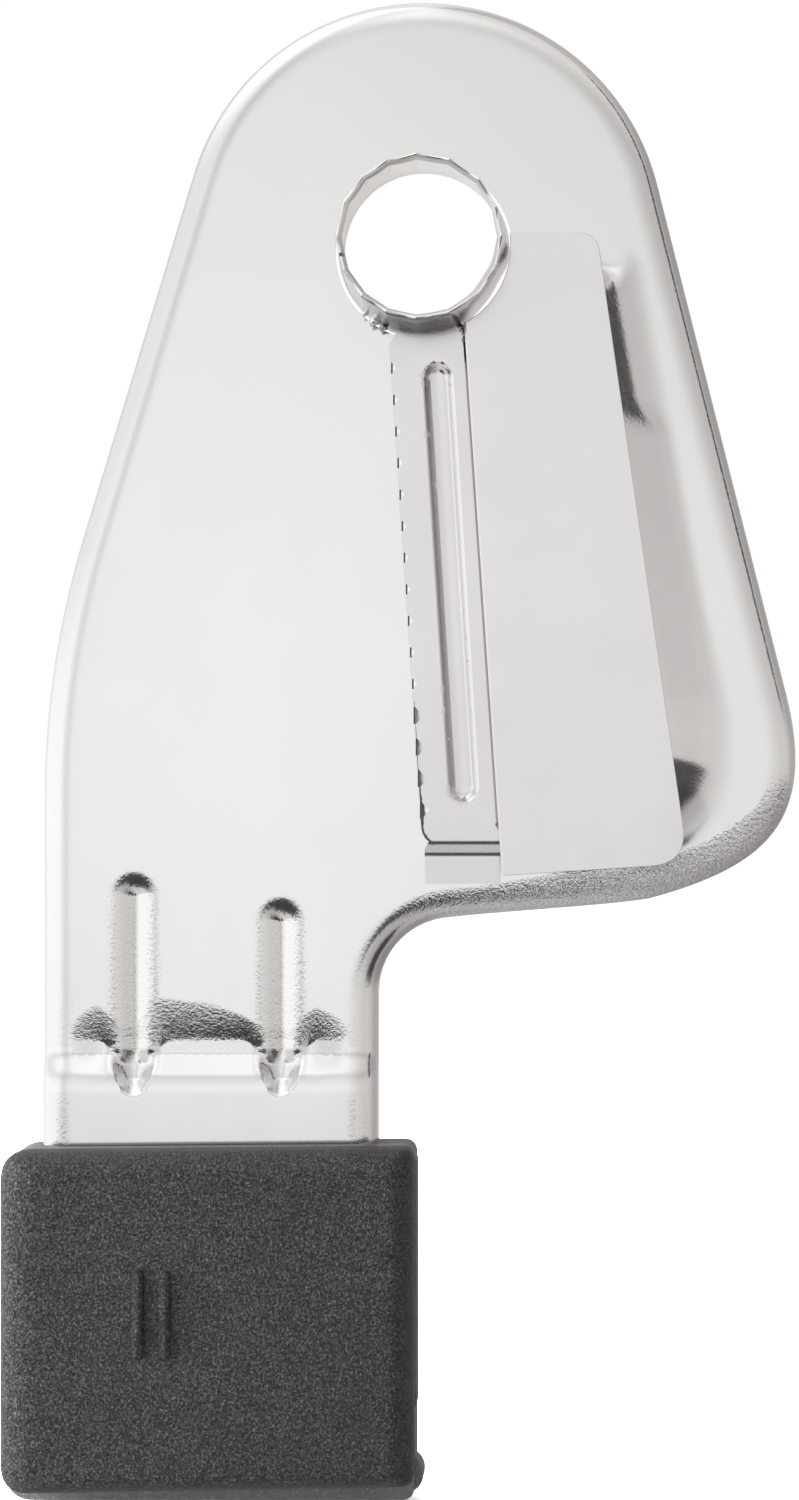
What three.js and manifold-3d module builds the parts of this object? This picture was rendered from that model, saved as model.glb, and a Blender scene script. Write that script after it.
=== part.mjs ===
// Blade insert of a hand-driven vegetable spiral slicer.
// A stamped steel plate carries a coring ring, a raised flat slicing blade and a serrated strip in
// front of the blade's edge. Two plastic shells, screwed together, clamp the plate's tang as a grip.
// Millimetres. +Z up the plate, +X to the right seen from the front, the front faces -Y.
// Origin: on the flat underside of the grip's back shell.

import * as THREE from 'three';
import { mergeVertices } from 'three/addons/utils/BufferGeometryUtils.js';
import Module from 'manifold-3d';

const wasm = await Module();
wasm.setup();

// Stamped base plate.
const SHEET = 0.8; // sheet thickness
const RIM_RADIUS = 1.8; // outside bend radius of the turned-back rim
const RIM_DEPTH = 3.6; // front face to the rim's cut edge
const RIM_STEPS = 4; // facets round the rim's bend
const PLATE_FRONT = 0.6; // Y of the plate's front face
const PLATE_BACK = PLATE_FRONT + SHEET;
const NECK = { left: -15.3, right: 14.9, top: 45.05, bottom: 6, overlap: 0.05 };
// Concave corner between the neck's right edge and the head.
const NECK_FILLET = { x: 21.75, z: 45.1, r: 6.85, end: THREE.MathUtils.degToRad(95) };
const HEAD = { x: 19.04, z: 112.9, r: 21.77 }; // round end of the head
const HEAD_FLANK_RIGHT = THREE.MathUtils.degToRad(14.3); // where the arc meets each straight flank
const HEAD_FLANK_LEFT = THREE.MathUtils.degToRad(163.15);
const LEFT_SWEEP = { x: 66.7, z: 62.6, r: 82 }; // long easing curve down the left side
const RIGHT_FLANK_END = { x: 51.8, z: 72.2 };
const CORNER_START = { x: 39.37, z: 53.63 }; // where the lower right corner begins to turn
const HEM_HANDLES = [{ x: 27.15, z: 52.6 }, { x: 34.5, z: 52.9 }]; // curve from the fillet to the corner
const CORNER_HANDLES = [{ x: 49.93, z: 56.49 }, { x: 54.75, z: 60.57 }]; // curve round the corner
const HEAD_TAIL = 6; // the head's form runs this far into the neck before it is trimmed
const TANG_HOLE_RADIUS = 2;

// The neck dips, then steps forward to the tang: distance behind the plate's front face by height.
const NECK_STEP = [
  [45.05, 0], [44.2, 0], [42.5, 0.06], [41, 0.24], [39.8, 0.5],
  [37.9, -0.8], [37.3, -0.95], [36.5, -1], [6, -1],
];

// Stiffening grooves pressed back into the neck across the step.
const GROOVE = {
  depth: 1.35, halfWidth: 1.75, tip: 36, point: 4, pointHalf: 0.2, // the last 4 mm narrow to a point
  valleyRound: 0.35, valleyLift: 0.12, // shares of the half width
};
const GROOVES = [{ x: -7, top: 56.2 }, { x: 6.2, top: 53.9 }];

// Raised table that carries the slicing blade.
const TABLE = { height: 2.6, wall: 5.4, facets: 3 };
// Corners of the table's flat top: x, z and corner radius.
const TABLE_TOP = [
  [31.5, 61.4, 2], [40.2, 61.9, 2.4], [41.7, 66.8, 2.4], [34.8, 104, 2], [33.4, 109, 0.9], [31.5, 109, 0.9],
];

// Coring ring and its bore.
const RING = { x: 19.1, z: 112, rear: 2, front: -8.9, rRear: 7.7, rFront: 7.3, wall: 0.5 };
const RING_BEVEL = { back: 0.7, wall: 0.12 }; // sharpened inside edge of the front rim
const SCALLOPS = { count: 16, depth: 0.35, r: 3.07, length: 4 };
const RING_SEAM = { angle: THREE.MathUtils.degToRad(207), width: 0.3, reach: 3 };
const FIT_GAP = 0.3; // clearance between neighbouring pieces
const BLADE_RING_GAP = 0.15; // the blade is welded up close to the ring
const BORE_RADIUS = RING.rRear + FIT_GAP;

// Slot that lets the cut strands through the plate.
const SLOT = {
  topZ: 102.4, bottomZ: 60.2, leftTop: 17, leftBottom: 19.8, rightTop: 30, rightBottom: 32, corner: 1.2,
};

// Slicing blade.
const BLADE = { back: -2.3, thickness: 0.6, bevel: 0.5, land: 0.12, tipCorner: 0.2 };
const BLADE_EDGE = { top: { x: 22.38, z: 113.17 }, bottom: { x: 26.29, z: 55.95 } };
const BLADE_SPINE = { top: { x: 34.65, z: 113.17, r: 1.7 }, bottom: { x: 42.8, z: 57, r: 3.4 } };

// Serrated strip with a pressed bead and a stepped-down end tab.
const STRIP = {
  thickness: 0.5, front: -0.8, tabFront: -0.2, topZ: 104.3, stepTopZ: 59.3, stepEndZ: 57.6, stepEase: 0.9,
};
const STRIP_LEFT = { top: { x: 15.93, z: 104.3 }, bottom: { x: 18.89, z: 59.76 } };
const STRIP_UNDERLAP = 0.5; // how far the strip reaches under the blade's edge
const TAB = { left: 19.2, right: 25.95, bottomZ: 55.1, shoulderZ: 58.9, notchEndZ: 60.6, corner: 0.2 };
const NOTCH = {
  count: 15, firstZ: 101.34, pitch: 2.83, depth: 0.77, throughCut: 0.2, halfMouth: 0.95, cutter: 3,
};
const BEAD = {
  x: 20.5, topZ: 101.9, bottomX: 22.83, bottomZ: 62.3, halfWidth: 1.1, floor: 0.45, depth: 0.4,
};

// Grip: two shells over the tang.
const GRIP = { front: -6, seam: -1.4, back: 6.4, wall: 1.8 };
const GRIP_EDGE = { size: 1.8, depth: 2.2, steps: 3 };
const LEFT_ROUNDING = { across: 3.5, deep: 3.2 }; // the front shell's left edge is rounded more fully
const FRONT_SHELL = {
  left: -18.35, right: 18.4, topLeft: 31.45, topRight: 31.8, bottomLeft: 1.1, bottomRight: 1.7,
};
const BACK_SHELL = {
  left: -18.2, right: 18.35, topLeft: 31.4, topRight: 31.7, bottomLeft: 0, bottomRight: 0,
};
const CORNERS = { left: 2.5, right: 1.1 };
const TALLY = { height: 0.35, halfWidth: 0.47, bottom: 13.5, top: 21.4, corner: 0.3, xs: [-5.8, -3.43] };
const SIDE_LUG = { z: 2.1, r: 1.8, reach: 0.7 };
const FOOT_LUG = { left: -16.2, right: -12.9, drop: 0.9, root: 0.6, ramp: 1.6, chamfer: 0.6 };
const LUG_SPAN = { set: 1, back: 3 }; // both lugs: set back from the seam, and Y of their rear face
const BOSS_RADIUS = 3.6;
const SCREW = { z: 16, xs: [-8.5, 8.5], headR: 2.5, headH: 1.6, shankR: 1.1, tip: -3.6, head: 4.4 };
const CROSS = { half: 1.4, halfWidth: 0.3, depth: 0.8 }; // the screw head's cross recess
const TANG_FRONT = PLATE_FRONT - 1; // the tang's front face, one step forward of the plate's
const CUTTER = 60; // far enough to pass right through any piece

function toSolid(geometry) {
  const bare = geometry.index ? geometry.toNonIndexed() : geometry.clone();
  bare.deleteAttribute('normal');
  bare.deleteAttribute('uv');
  const merged = mergeVertices(bare, 1e-4);
  return new wasm.Manifold(new wasm.Mesh({
    numProp: 3,
    vertProperties: new Float32Array(merged.attributes.position.array),
    triVerts: new Uint32Array(merged.index.array),
  }));
}

function toGeometry(solid) {
  const mesh = solid.getMesh();
  const geometry = new THREE.BufferGeometry();
  geometry.setAttribute('position', new THREE.BufferAttribute(new Float32Array(mesh.vertProperties), 3));
  geometry.setIndex(new THREE.BufferAttribute(new Uint32Array(mesh.triVerts), 1));
  geometry.computeVertexNormals();
  return geometry;
}

function part(name, solid, material) {
  const mesh = new THREE.Mesh(toGeometry(solid), material);
  mesh.name = name;
  return mesh;
}

const joined = (solids) => solids.reduce((sum, next) => sum.add(next));

// A shape drawn in X and Z, extruded from yBack forward to yFront. An edge option rounds its front.
function slab(shape, yFront, yBack, edge) {
  const rim = edge ? edge.depth : 0;
  const geometry = new THREE.ExtrudeGeometry(shape, {
    depth: yBack - yFront - rim,
    curveSegments: edge?.curve ?? 10,
    bevelEnabled: Boolean(edge),
    bevelThickness: rim,
    bevelSize: edge?.size ?? 0,
    bevelOffset: edge?.offset ?? 0,
    bevelSegments: edge?.steps ?? 0,
  });
  geometry.rotateX(Math.PI / 2);
  geometry.translate(0, yBack, 0);
  return toSolid(geometry);
}

// A shape drawn in X and Y, extruded upward between two heights.
function column(shape, zBottom, zTop) {
  const geometry = new THREE.ExtrudeGeometry(shape, {
    depth: zTop - zBottom, bevelEnabled: false, curveSegments: 8,
  });
  geometry.translate(0, 0, zBottom);
  return toSolid(geometry);
}

// A shape drawn in Y and Z, extruded along X.
function bar(shape, xLeft, xRight) {
  const geometry = new THREE.ExtrudeGeometry(shape, {
    depth: xRight - xLeft, bevelEnabled: false, curveSegments: 8,
  });
  const swap = new THREE.Matrix4().makeBasis(
    new THREE.Vector3(0, 1, 0), new THREE.Vector3(0, 0, 1), new THREE.Vector3(1, 0, 0));
  geometry.applyMatrix4(swap);
  geometry.translate(xLeft, 0, 0);
  return toSolid(geometry);
}

function box(x0, x1, y0, y1, z0, z1) {
  const geometry = new THREE.BoxGeometry(x1 - x0, y1 - y0, z1 - z0);
  geometry.translate((x0 + x1) / 2, (y0 + y1) / 2, (z0 + z1) / 2);
  return toSolid(geometry);
}

// A cylinder along Y between two depths.
function pin(x, z, r, yFront, yBack, segments = 32) {
  const geometry = new THREE.CylinderGeometry(r, r, yBack - yFront, segments);
  geometry.translate(x, (yFront + yBack) / 2, z);
  return toSolid(geometry);
}

function polygon(points) {
  const shape = new THREE.Shape();
  points.forEach(([x, y], i) => (i ? shape.lineTo(x, y) : shape.moveTo(x, y)));
  shape.closePath();
  return shape;
}

// A polygon whose corners are rounded, each by its own radius.
function roundedPolygon(corners) {
  const shape = new THREE.Shape();
  const n = corners.length;
  corners.forEach(([x, y, r], i) => {
    const here = new THREE.Vector2(x, y);
    const before = new THREE.Vector2(...corners[(i + n - 1) % n]).sub(here).normalize();
    const after = new THREE.Vector2(...corners[(i + 1) % n]).sub(here).normalize();
    const start = here.clone().addScaledVector(before, r);
    const end = here.clone().addScaledVector(after, r);
    if (i) shape.lineTo(start.x, start.y);
    else shape.moveTo(start.x, start.y);
    shape.quadraticCurveTo(x, y, end.x, end.y);
  });
  shape.closePath();
  return shape;
}

function headOutline() {
  const shape = new THREE.Shape();
  const curve = ([a, b], end) => shape.bezierCurveTo(a.x, a.z, b.x, b.z, end.x, end.z);
  shape.moveTo(NECK.left, NECK.top - HEAD_TAIL);
  shape.lineTo(NECK.right, NECK.top - HEAD_TAIL);
  shape.lineTo(NECK_FILLET.x - NECK_FILLET.r, NECK_FILLET.z);
  shape.absarc(NECK_FILLET.x, NECK_FILLET.z, NECK_FILLET.r, Math.PI, NECK_FILLET.end, true);
  curve(HEM_HANDLES, CORNER_START);
  curve(CORNER_HANDLES, RIGHT_FLANK_END);
  shape.absarc(HEAD.x, HEAD.z, HEAD.r, HEAD_FLANK_RIGHT, HEAD_FLANK_LEFT, false);
  shape.absarc(LEFT_SWEEP.x, LEFT_SWEEP.z, LEFT_SWEEP.r, HEAD_FLANK_LEFT, Math.PI, false);
  shape.closePath();
  return shape;
}

// The neck's section in X and Y: round front corners, open or closed at the back as the depth says.
function neckSection(inset, back) {
  const r = RIM_RADIUS - inset;
  const front = PLATE_FRONT + inset;
  const left = NECK.left + inset;
  const right = NECK.right - inset;
  const points = [[right, back], [left, back]];
  for (let i = RIM_STEPS; i >= 0; i -= 1) {
    const a = (i / RIM_STEPS) * (Math.PI / 2);
    points.push([left + r - r * Math.sin(a), front + r - r * Math.cos(a)]);
  }
  for (let i = 0; i <= RIM_STEPS; i += 1) {
    const a = (i / RIM_STEPS) * (Math.PI / 2);
    points.push([right - r + r * Math.sin(a), front + r - r * Math.cos(a)]);
  }
  return polygon(points.reverse());
}

// The neck as a solid whose section slides back and forth along the step.
function neckSolid(inset, back, bottom = NECK.bottom) {
  const stations = NECK_STEP.map(([z, y]) => [z, y]);
  stations[0][0] += NECK.overlap;
  stations[stations.length - 1][0] = bottom;
  const steps = stations.length - 1;
  const geometry = new THREE.ExtrudeGeometry(neckSection(inset, back), {
    depth: steps, steps, bevelEnabled: false,
  });
  const position = geometry.attributes.position;
  for (let i = 0; i < position.count; i += 1) {
    const [z, y] = stations[steps - Math.round(position.getZ(i))];
    position.setXYZ(i, position.getX(i), position.getY(i) + y, z);
  }
  return toSolid(geometry);
}

// One stiffening groove: a V trough with a round top end that runs out to a point at its foot.
function grooveSolid(groove, grow) {
  const half = GROOVE.halfWidth + grow;
  const deep = GROOVE.depth + grow;
  const valley = PLATE_FRONT + deep;
  const mouth = -3; // well in front of the neck wherever it steps to
  const flare = half * (PLATE_FRONT - mouth) / deep;
  const round = GROOVE.valleyRound * half;
  const lift = GROOVE.valleyLift * half;
  const trough = new THREE.Shape();
  trough.moveTo(groove.x - half - flare, mouth);
  trough.lineTo(groove.x - round, valley - lift);
  trough.quadraticCurveTo(groove.x, valley + lift / 4, groove.x + round, valley - lift);
  trough.lineTo(groove.x + half + flare, mouth);
  trough.closePath();
  const { tip, point, pointHalf } = GROOVE;
  const side = half + grow;
  const centre = groove.top - half;
  const plan = polygon([
    [groove.x - side, centre], [groove.x - side, tip + point], [groove.x - pointHalf - grow, tip - grow],
    [groove.x + pointHalf + grow, tip - grow], [groove.x + side, tip + point], [groove.x + side, centre],
  ]);
  const back = valley + 1;
  return column(trough, tip - SHEET - 1, groove.top + 2)
    .intersect(slab(plan, mouth, back).add(pin(groove.x, centre, side, mouth, back, 40)));
}

function tableSolid(inset, back) {
  return slab(roundedPolygon(TABLE_TOP), PLATE_FRONT - TABLE.height + inset, back, {
    depth: TABLE.height, size: TABLE.wall - inset, steps: TABLE.facets, curve: 3,
  });
}

const slotShape = () => roundedPolygon([
  [SLOT.leftBottom, SLOT.bottomZ, SLOT.corner], [SLOT.rightBottom, SLOT.bottomZ, SLOT.corner],
  [SLOT.rightTop, SLOT.topZ, SLOT.corner], [SLOT.leftTop, SLOT.topZ, SLOT.corner],
]);

function basePlate() {
  const rimEnd = PLATE_FRONT + RIM_DEPTH;
  const past = rimEnd + 4;
  const rim = (inset) => ({
    depth: RIM_RADIUS - inset, size: RIM_RADIUS - inset, offset: -RIM_RADIUS, steps: RIM_STEPS,
  });
  const headOuter = slab(headOutline(), PLATE_FRONT, past, rim(0))
    .subtract(box(-CUTTER, CUTTER * 2, rimEnd, CUTTER, -CUTTER, CUTTER * 3));
  const headInner = slab(headOutline(), PLATE_BACK, past, rim(SHEET));
  const belowHead = box(-CUTTER, CUTTER, -CUTTER, CUTTER, 0, NECK.top);
  const grooves = (grow) => joined(GROOVES.map((g) => grooveSolid(g, grow)));
  const outer = joined([headOuter.subtract(belowHead), neckSolid(0, rimEnd), tableSolid(0, PLATE_BACK)])
    .subtract(grooves(0));
  const inner = joined([
    headInner.subtract(belowHead),
    neckSolid(SHEET, past, NECK.bottom - 1),
    tableSolid(SHEET, PLATE_BACK + 1),
  ]).subtract(grooves(SHEET));
  const tangHoles = SCREW.xs.map((x) => pin(x, SCREW.z, TANG_HOLE_RADIUS, -CUTTER, CUTTER, 24));
  return outer.subtract(inner)
    .subtract(slab(slotShape(), -CUTTER, CUTTER))
    .subtract(pin(RING.x, RING.z, BORE_RADIUS, -CUTTER, CUTTER, 64))
    .subtract(joined(tangHoles));
}

// The rolled tube tapers towards its scalloped, sharpened front rim and keeps its open butt seam.
function coreRing() {
  const { rear, front, rRear, rFront, wall } = RING;
  const bevelY = front + RING_BEVEL.back;
  const profile = [
    [rRear, -rear], [rRear - wall, -rear], [rFront - wall, -bevelY],
    [rFront - RING_BEVEL.wall, -front], [rFront, -front], [rRear, -rear],
  ].map(([r, y]) => new THREE.Vector2(r, y)).reverse();
  const tube = new THREE.LatheGeometry(profile, 96);
  tube.rotateX(Math.PI);
  tube.translate(RING.x, 0, RING.z);
  const cutters = [];
  for (let i = 0; i < SCALLOPS.count; i += 1) {
    const cutter = new THREE.CylinderGeometry(SCALLOPS.r, SCALLOPS.r, SCALLOPS.length, 24);
    cutter.rotateZ(Math.PI / 2);
    cutter.translate(rFront, RING.front - SCALLOPS.r + SCALLOPS.depth, 0);
    cutter.rotateY((i / SCALLOPS.count) * 2 * Math.PI);
    cutter.translate(RING.x, 0, RING.z);
    cutters.push(toSolid(cutter));
  }
  const seam = new THREE.BoxGeometry(RING_SEAM.reach, CUTTER, RING_SEAM.width);
  seam.translate(rRear, 0, 0);
  seam.rotateY(-RING_SEAM.angle);
  seam.translate(RING.x, 0, RING.z);
  return toSolid(tube).subtract(joined(cutters)).subtract(toSolid(seam));
}

// X of the blade's cutting edge at a height.
function edgeX(z) {
  const { top, bottom } = BLADE_EDGE;
  return bottom.x + ((z - bottom.z) / (top.z - bottom.z)) * (top.x - bottom.x);
}

function slicingBlade() {
  const { top, bottom } = BLADE_EDGE;
  const { top: spineTop, bottom: spineBottom } = BLADE_SPINE;
  const outline = roundedPolygon([
    [bottom.x, bottom.z, BLADE.tipCorner], [spineBottom.x, spineBottom.z, spineBottom.r],
    [spineTop.x, spineTop.z, spineTop.r], [top.x, top.z, BLADE.tipCorner],
  ]);
  const front = BLADE.back - BLADE.thickness;
  const thin = BLADE.back - BLADE.land;
  const run = 5; // the bevel's cutter runs this far past each end of the edge
  const long = Math.hypot(top.x - bottom.x, top.z - bottom.z);
  const wedge = new THREE.ExtrudeGeometry(polygon([
    [-1, front - 1], [BLADE.bevel * 2.8, front - 1], [BLADE.bevel, front], [0, thin], [-1, thin],
  ]), { depth: long + 2 * run, bevelEnabled: false });
  wedge.translate(0, 0, -run);
  wedge.rotateY(Math.atan2(top.x - bottom.x, top.z - bottom.z));
  wedge.translate(bottom.x, 0, bottom.z);
  return slab(outline, front, BLADE.back)
    .subtract(toSolid(wedge))
    .subtract(pin(RING.x, RING.z, RING.rRear + BLADE_RING_GAP, -CUTTER, CUTTER, 64));
}

// Side profile of the strip in Y and Z: flat, an S bend down to the plate, then the tab.
function stripProfile() {
  const { thickness: t, front, tabFront, topZ, stepTopZ, stepEndZ, stepEase: ease } = STRIP;
  const shift = 0.2; // the S's back face sits a little higher, which keeps the sheet's thickness even
  const shape = new THREE.Shape();
  shape.moveTo(front, topZ);
  shape.lineTo(front, stepTopZ);
  shape.bezierCurveTo(front, stepTopZ - ease, tabFront, stepEndZ + ease, tabFront, stepEndZ);
  shape.lineTo(tabFront, TAB.bottomZ);
  shape.lineTo(tabFront + t, TAB.bottomZ);
  shape.lineTo(tabFront + t, stepEndZ + shift);
  shape.bezierCurveTo(
    tabFront + t, stepEndZ + shift + ease, front + t, stepTopZ + shift - ease, front + t, stepTopZ + shift);
  shape.lineTo(front + t, topZ);
  shape.closePath();
  return shape;
}

function beadSolid(grow) {
  const { x, topZ, bottomX, bottomZ, halfWidth, floor, depth } = BEAD;
  const long = Math.hypot(bottomX - x, topZ - bottomZ) - 2 * halfWidth;
  const capsule = new THREE.Shape();
  const r = floor + grow;
  capsule.absarc(0, 0, r, 0, Math.PI, false);
  capsule.absarc(0, -long, r, Math.PI, 2 * Math.PI, false);
  capsule.closePath();
  const skin = 0.01; // the pressing tool starts just proud of the sheet
  const geometry = new THREE.ExtrudeGeometry(capsule, {
    depth: skin, curveSegments: 8,
    bevelThickness: depth + grow, bevelSize: halfWidth - floor, bevelSegments: 3,
  });
  geometry.rotateX(Math.PI / 2);
  geometry.rotateY(-Math.atan2(bottomX - x, topZ - bottomZ));
  geometry.translate(x, STRIP.front - skin, topZ - halfWidth);
  return toSolid(geometry);
}

// One notch: a ground V that runs deeper at the strip's front face than at its back.
function notchCutter(x, z) {
  const { cutter, throughCut, depth, halfMouth } = NOTCH;
  const spread = halfMouth / depth * cutter;
  const wedge = new THREE.ExtrudeGeometry(polygon([[0, 0], [-cutter, spread], [-cutter, -spread]]), {
    depth: 2 * cutter, bevelEnabled: false,
  });
  wedge.translate(0, 0, -cutter);
  wedge.rotateX(Math.PI / 2);
  wedge.rotateZ(Math.atan2(depth - throughCut, STRIP.thickness));
  wedge.translate(x + throughCut, STRIP.front + STRIP.thickness, z);
  return toSolid(wedge);
}

function serratedStrip() {
  const { top, bottom } = STRIP_LEFT;
  const leftX = (z) => top.x + (top.z - z) * (bottom.x - top.x) / (top.z - bottom.z);
  const underBlade = (z) => edgeX(z) + STRIP_UNDERLAP;
  const r = TAB.corner;
  const outline = roundedPolygon([
    [leftX(TAB.notchEndZ), TAB.notchEndZ, r], [TAB.left + 2 * r, TAB.shoulderZ, r],
    [TAB.left, STRIP.stepEndZ, r], [TAB.left, TAB.bottomZ, r], [TAB.right, TAB.bottomZ, r],
    [TAB.right, bottom.z, r], [underBlade(bottom.z), bottom.z + r, r],
    [underBlade(STRIP.topZ), STRIP.topZ, r], [top.x, STRIP.topZ, r],
  ]);
  const beadBack = beadSolid(BEAD.depth).intersect(box(0, CUTTER, STRIP.front, CUTTER, 0, CUTTER * 3));
  const notches = [];
  for (let i = 0; i < NOTCH.count; i += 1) {
    const z = NOTCH.firstZ - i * NOTCH.pitch;
    notches.push(notchCutter(leftX(z), z));
  }
  return bar(stripProfile(), top.x - 2, TAB.right + 4)
    .intersect(slab(outline, -CUTTER, CUTTER))
    .add(beadBack)
    .subtract(beadSolid(0))
    .subtract(joined(notches))
    .subtract(pin(RING.x, RING.z, RING.rRear + FIT_GAP, -CUTTER, CUTTER, 64));
}

const shellOutline = (s, inset = 0, corners = CORNERS) => roundedPolygon([
  [s.left + inset, s.bottomLeft + inset, corners.left],
  [s.right - inset, s.bottomRight + inset, corners.right],
  [s.right - inset, s.topRight - inset, corners.right],
  [s.left + inset, s.topLeft - inset, corners.left],
]);

// A shell's full outer form from its rounded front face back to yBack.
function shellForm(s, yFront, yBack) {
  const tight = { left: CORNERS.left - GRIP_EDGE.size, right: 0.1 };
  const spare = GRIP_EDGE.depth * 3; // the rounded form is long enough to be trimmed at the seam
  const core = shellOutline(s, GRIP_EDGE.size, tight);
  const form = slab(core, yFront, yBack + spare, { ...GRIP_EDGE, curve: 5 });
  return form.intersect(slab(shellOutline(s), yFront - 1, yBack));
}

// A section in X and Y that trims a shell to its fuller left rounding.
function leftTrim(s, yFront, yBack) {
  const { across, deep } = LEFT_ROUNDING;
  const shape = new THREE.Shape();
  shape.moveTo(s.left, yBack + 1);
  shape.lineTo(s.left, yFront + deep);
  shape.absellipse(s.left + across, yFront + deep, across, deep, Math.PI, 1.5 * Math.PI, false);
  shape.lineTo(s.right + 1, yFront);
  shape.lineTo(s.right + 1, yBack + 1);
  shape.closePath();
  return column(shape, -CUTTER, CUTTER);
}

// Passage for the tang through the grip's top wall, with clearance all round the plate's section.
function tangPassage() {
  const clear = FIT_GAP;
  const floor = NECK.bottom - 3.5; // below the tang's end, inside the hollow
  const outer = neckSolid(-clear, PLATE_FRONT + RIM_DEPTH + clear, floor);
  const inner = neckSolid(SHEET + clear, CUTTER, floor - 1);
  const towardSeam = box(NECK.left - clear, NECK.right + clear, GRIP.seam - 1, 0, floor, CUTTER);
  return outer.add(towardSeam).subtract(inner);
}

// Both bosses that meet the tang, each with its screw hole.
const bosses = (yFront, yBack) => joined(SCREW.xs.map((x) => pin(x, SCREW.z, BOSS_RADIUS, yFront, yBack)));
const screwHoles = (r, yFront, yBack) => joined(SCREW.xs.map((x) => pin(x, SCREW.z, r, yFront, yBack, 24)));

function gripFrontShell() {
  const outside = shellForm(FRONT_SHELL, GRIP.front, GRIP.seam)
    .intersect(leftTrim(FRONT_SHELL, GRIP.front, GRIP.seam));
  const hollow = slab(shellOutline(FRONT_SHELL, GRIP.wall), GRIP.front + GRIP.wall, GRIP.seam + 1);
  const { halfWidth, bottom, top, corner, height } = TALLY;
  const bars = joined(TALLY.xs.map((x) => slab(roundedPolygon([
    [x - halfWidth, bottom, corner], [x + halfWidth, bottom, corner],
    [x + halfWidth, top, corner], [x - halfWidth, top, corner],
  ]), GRIP.front - height, GRIP.front + GRIP.wall / 2)));
  return outside.subtract(hollow)
    .add(bosses(GRIP.front + GRIP.wall / 2, TANG_FRONT - FIT_GAP))
    .add(bars)
    .subtract(screwHoles(SCREW.shankR + FIT_GAP, SCREW.tip - FIT_GAP, CUTTER));
}

function gripBackShell() {
  const seam = GRIP.seam + FIT_GAP;
  const outside = shellForm(BACK_SHELL, -GRIP.back, -seam).mirror([0, 1, 0]);
  const hollow = slab(shellOutline(BACK_SHELL, GRIP.wall), seam - 1, GRIP.back - GRIP.wall);
  const { left, right, drop, root, ramp, chamfer } = FOOT_LUG;
  const lugX = BACK_SHELL.right - SIDE_LUG.r + SIDE_LUG.reach;
  const sideLug = pin(lugX, SIDE_LUG.z, SIDE_LUG.r, seam + LUG_SPAN.set, LUG_SPAN.back, 24);
  const footLug = slab(polygon([
    [left, root], [left + ramp, -drop * 0.7], [right - chamfer, -drop], [right, -drop / 4], [right, root],
  ]), seam + LUG_SPAN.set, LUG_SPAN.back);
  return outside.subtract(hollow)
    .add(sideLug)
    .add(footLug)
    .add(bosses(TANG_FRONT + SHEET + FIT_GAP, GRIP.back - GRIP.wall / 2))
    .subtract(screwHoles(SCREW.shankR + FIT_GAP, -CUTTER, CUTTER))
    .subtract(screwHoles(SCREW.headR + FIT_GAP, SCREW.head - FIT_GAP, CUTTER))
    .subtract(tangPassage());
}

function gripScrew(x) {
  const { z, headR, headH, shankR, tip, head } = SCREW;
  const { half, halfWidth, depth } = CROSS;
  const top = head + headH;
  return pin(x, z, headR, head, top)
    .add(pin(x, z, shankR, tip, head + headH / 3, 20))
    .subtract(box(x - half, x + half, top - depth, CUTTER, z - halfWidth, z + halfWidth))
    .subtract(box(x - halfWidth, x + halfWidth, top - depth, CUTTER, z - half, z + half));
}

const steel = (color, roughness) => new THREE.MeshStandardMaterial({ color, metalness: 1, roughness });
const plastic = (color) => new THREE.MeshStandardMaterial({ color, metalness: 0, roughness: 0.75 });

const group = new THREE.Group();
group.add(part('base_plate', basePlate(), steel(0xe4e3e2, 0.28)));
group.add(part('slicing_blade', slicingBlade(), steel(0xdcd9d9, 0.22)));
group.add(part('serrated_strip', serratedStrip(), steel(0xdbd8d6, 0.24)));
group.add(part('core_ring', coreRing(), steel(0xcfcccb, 0.3)));
group.add(part('grip_front_shell', gripFrontShell(), plastic(0x3d3c3b)));
group.add(part('grip_back_shell', gripBackShell(), plastic(0x5d5c5b)));
group.add(part('grip_screw_left', gripScrew(SCREW.xs[0]), steel(0xbfbdba, 0.35)));
group.add(part('grip_screw_right', gripScrew(SCREW.xs[1]), steel(0xbfbdba, 0.35)));

export default group;
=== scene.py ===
"""Spiral slicer blade insert: detailed pieces, materials, light and camera round the CAD part."""

import math

import bmesh
import bpy
import numpy as np
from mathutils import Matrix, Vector
from mathutils.geometry import delaunay_2d_cdt
from mathutils.kdtree import KDTree


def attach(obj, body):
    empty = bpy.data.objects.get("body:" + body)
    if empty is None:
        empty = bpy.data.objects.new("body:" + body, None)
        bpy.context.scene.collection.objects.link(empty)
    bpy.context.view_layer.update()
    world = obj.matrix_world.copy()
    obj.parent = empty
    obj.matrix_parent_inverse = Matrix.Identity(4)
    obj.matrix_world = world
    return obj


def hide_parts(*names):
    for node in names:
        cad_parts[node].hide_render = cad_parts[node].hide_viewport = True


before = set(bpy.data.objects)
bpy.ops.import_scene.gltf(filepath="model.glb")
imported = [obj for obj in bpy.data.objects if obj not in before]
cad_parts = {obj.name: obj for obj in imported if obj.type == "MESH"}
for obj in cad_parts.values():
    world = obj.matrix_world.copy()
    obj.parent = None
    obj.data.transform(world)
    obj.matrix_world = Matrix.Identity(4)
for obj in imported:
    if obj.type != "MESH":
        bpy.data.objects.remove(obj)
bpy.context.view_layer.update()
MM = 0.001
RNG = np.random.default_rng(7)

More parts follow.
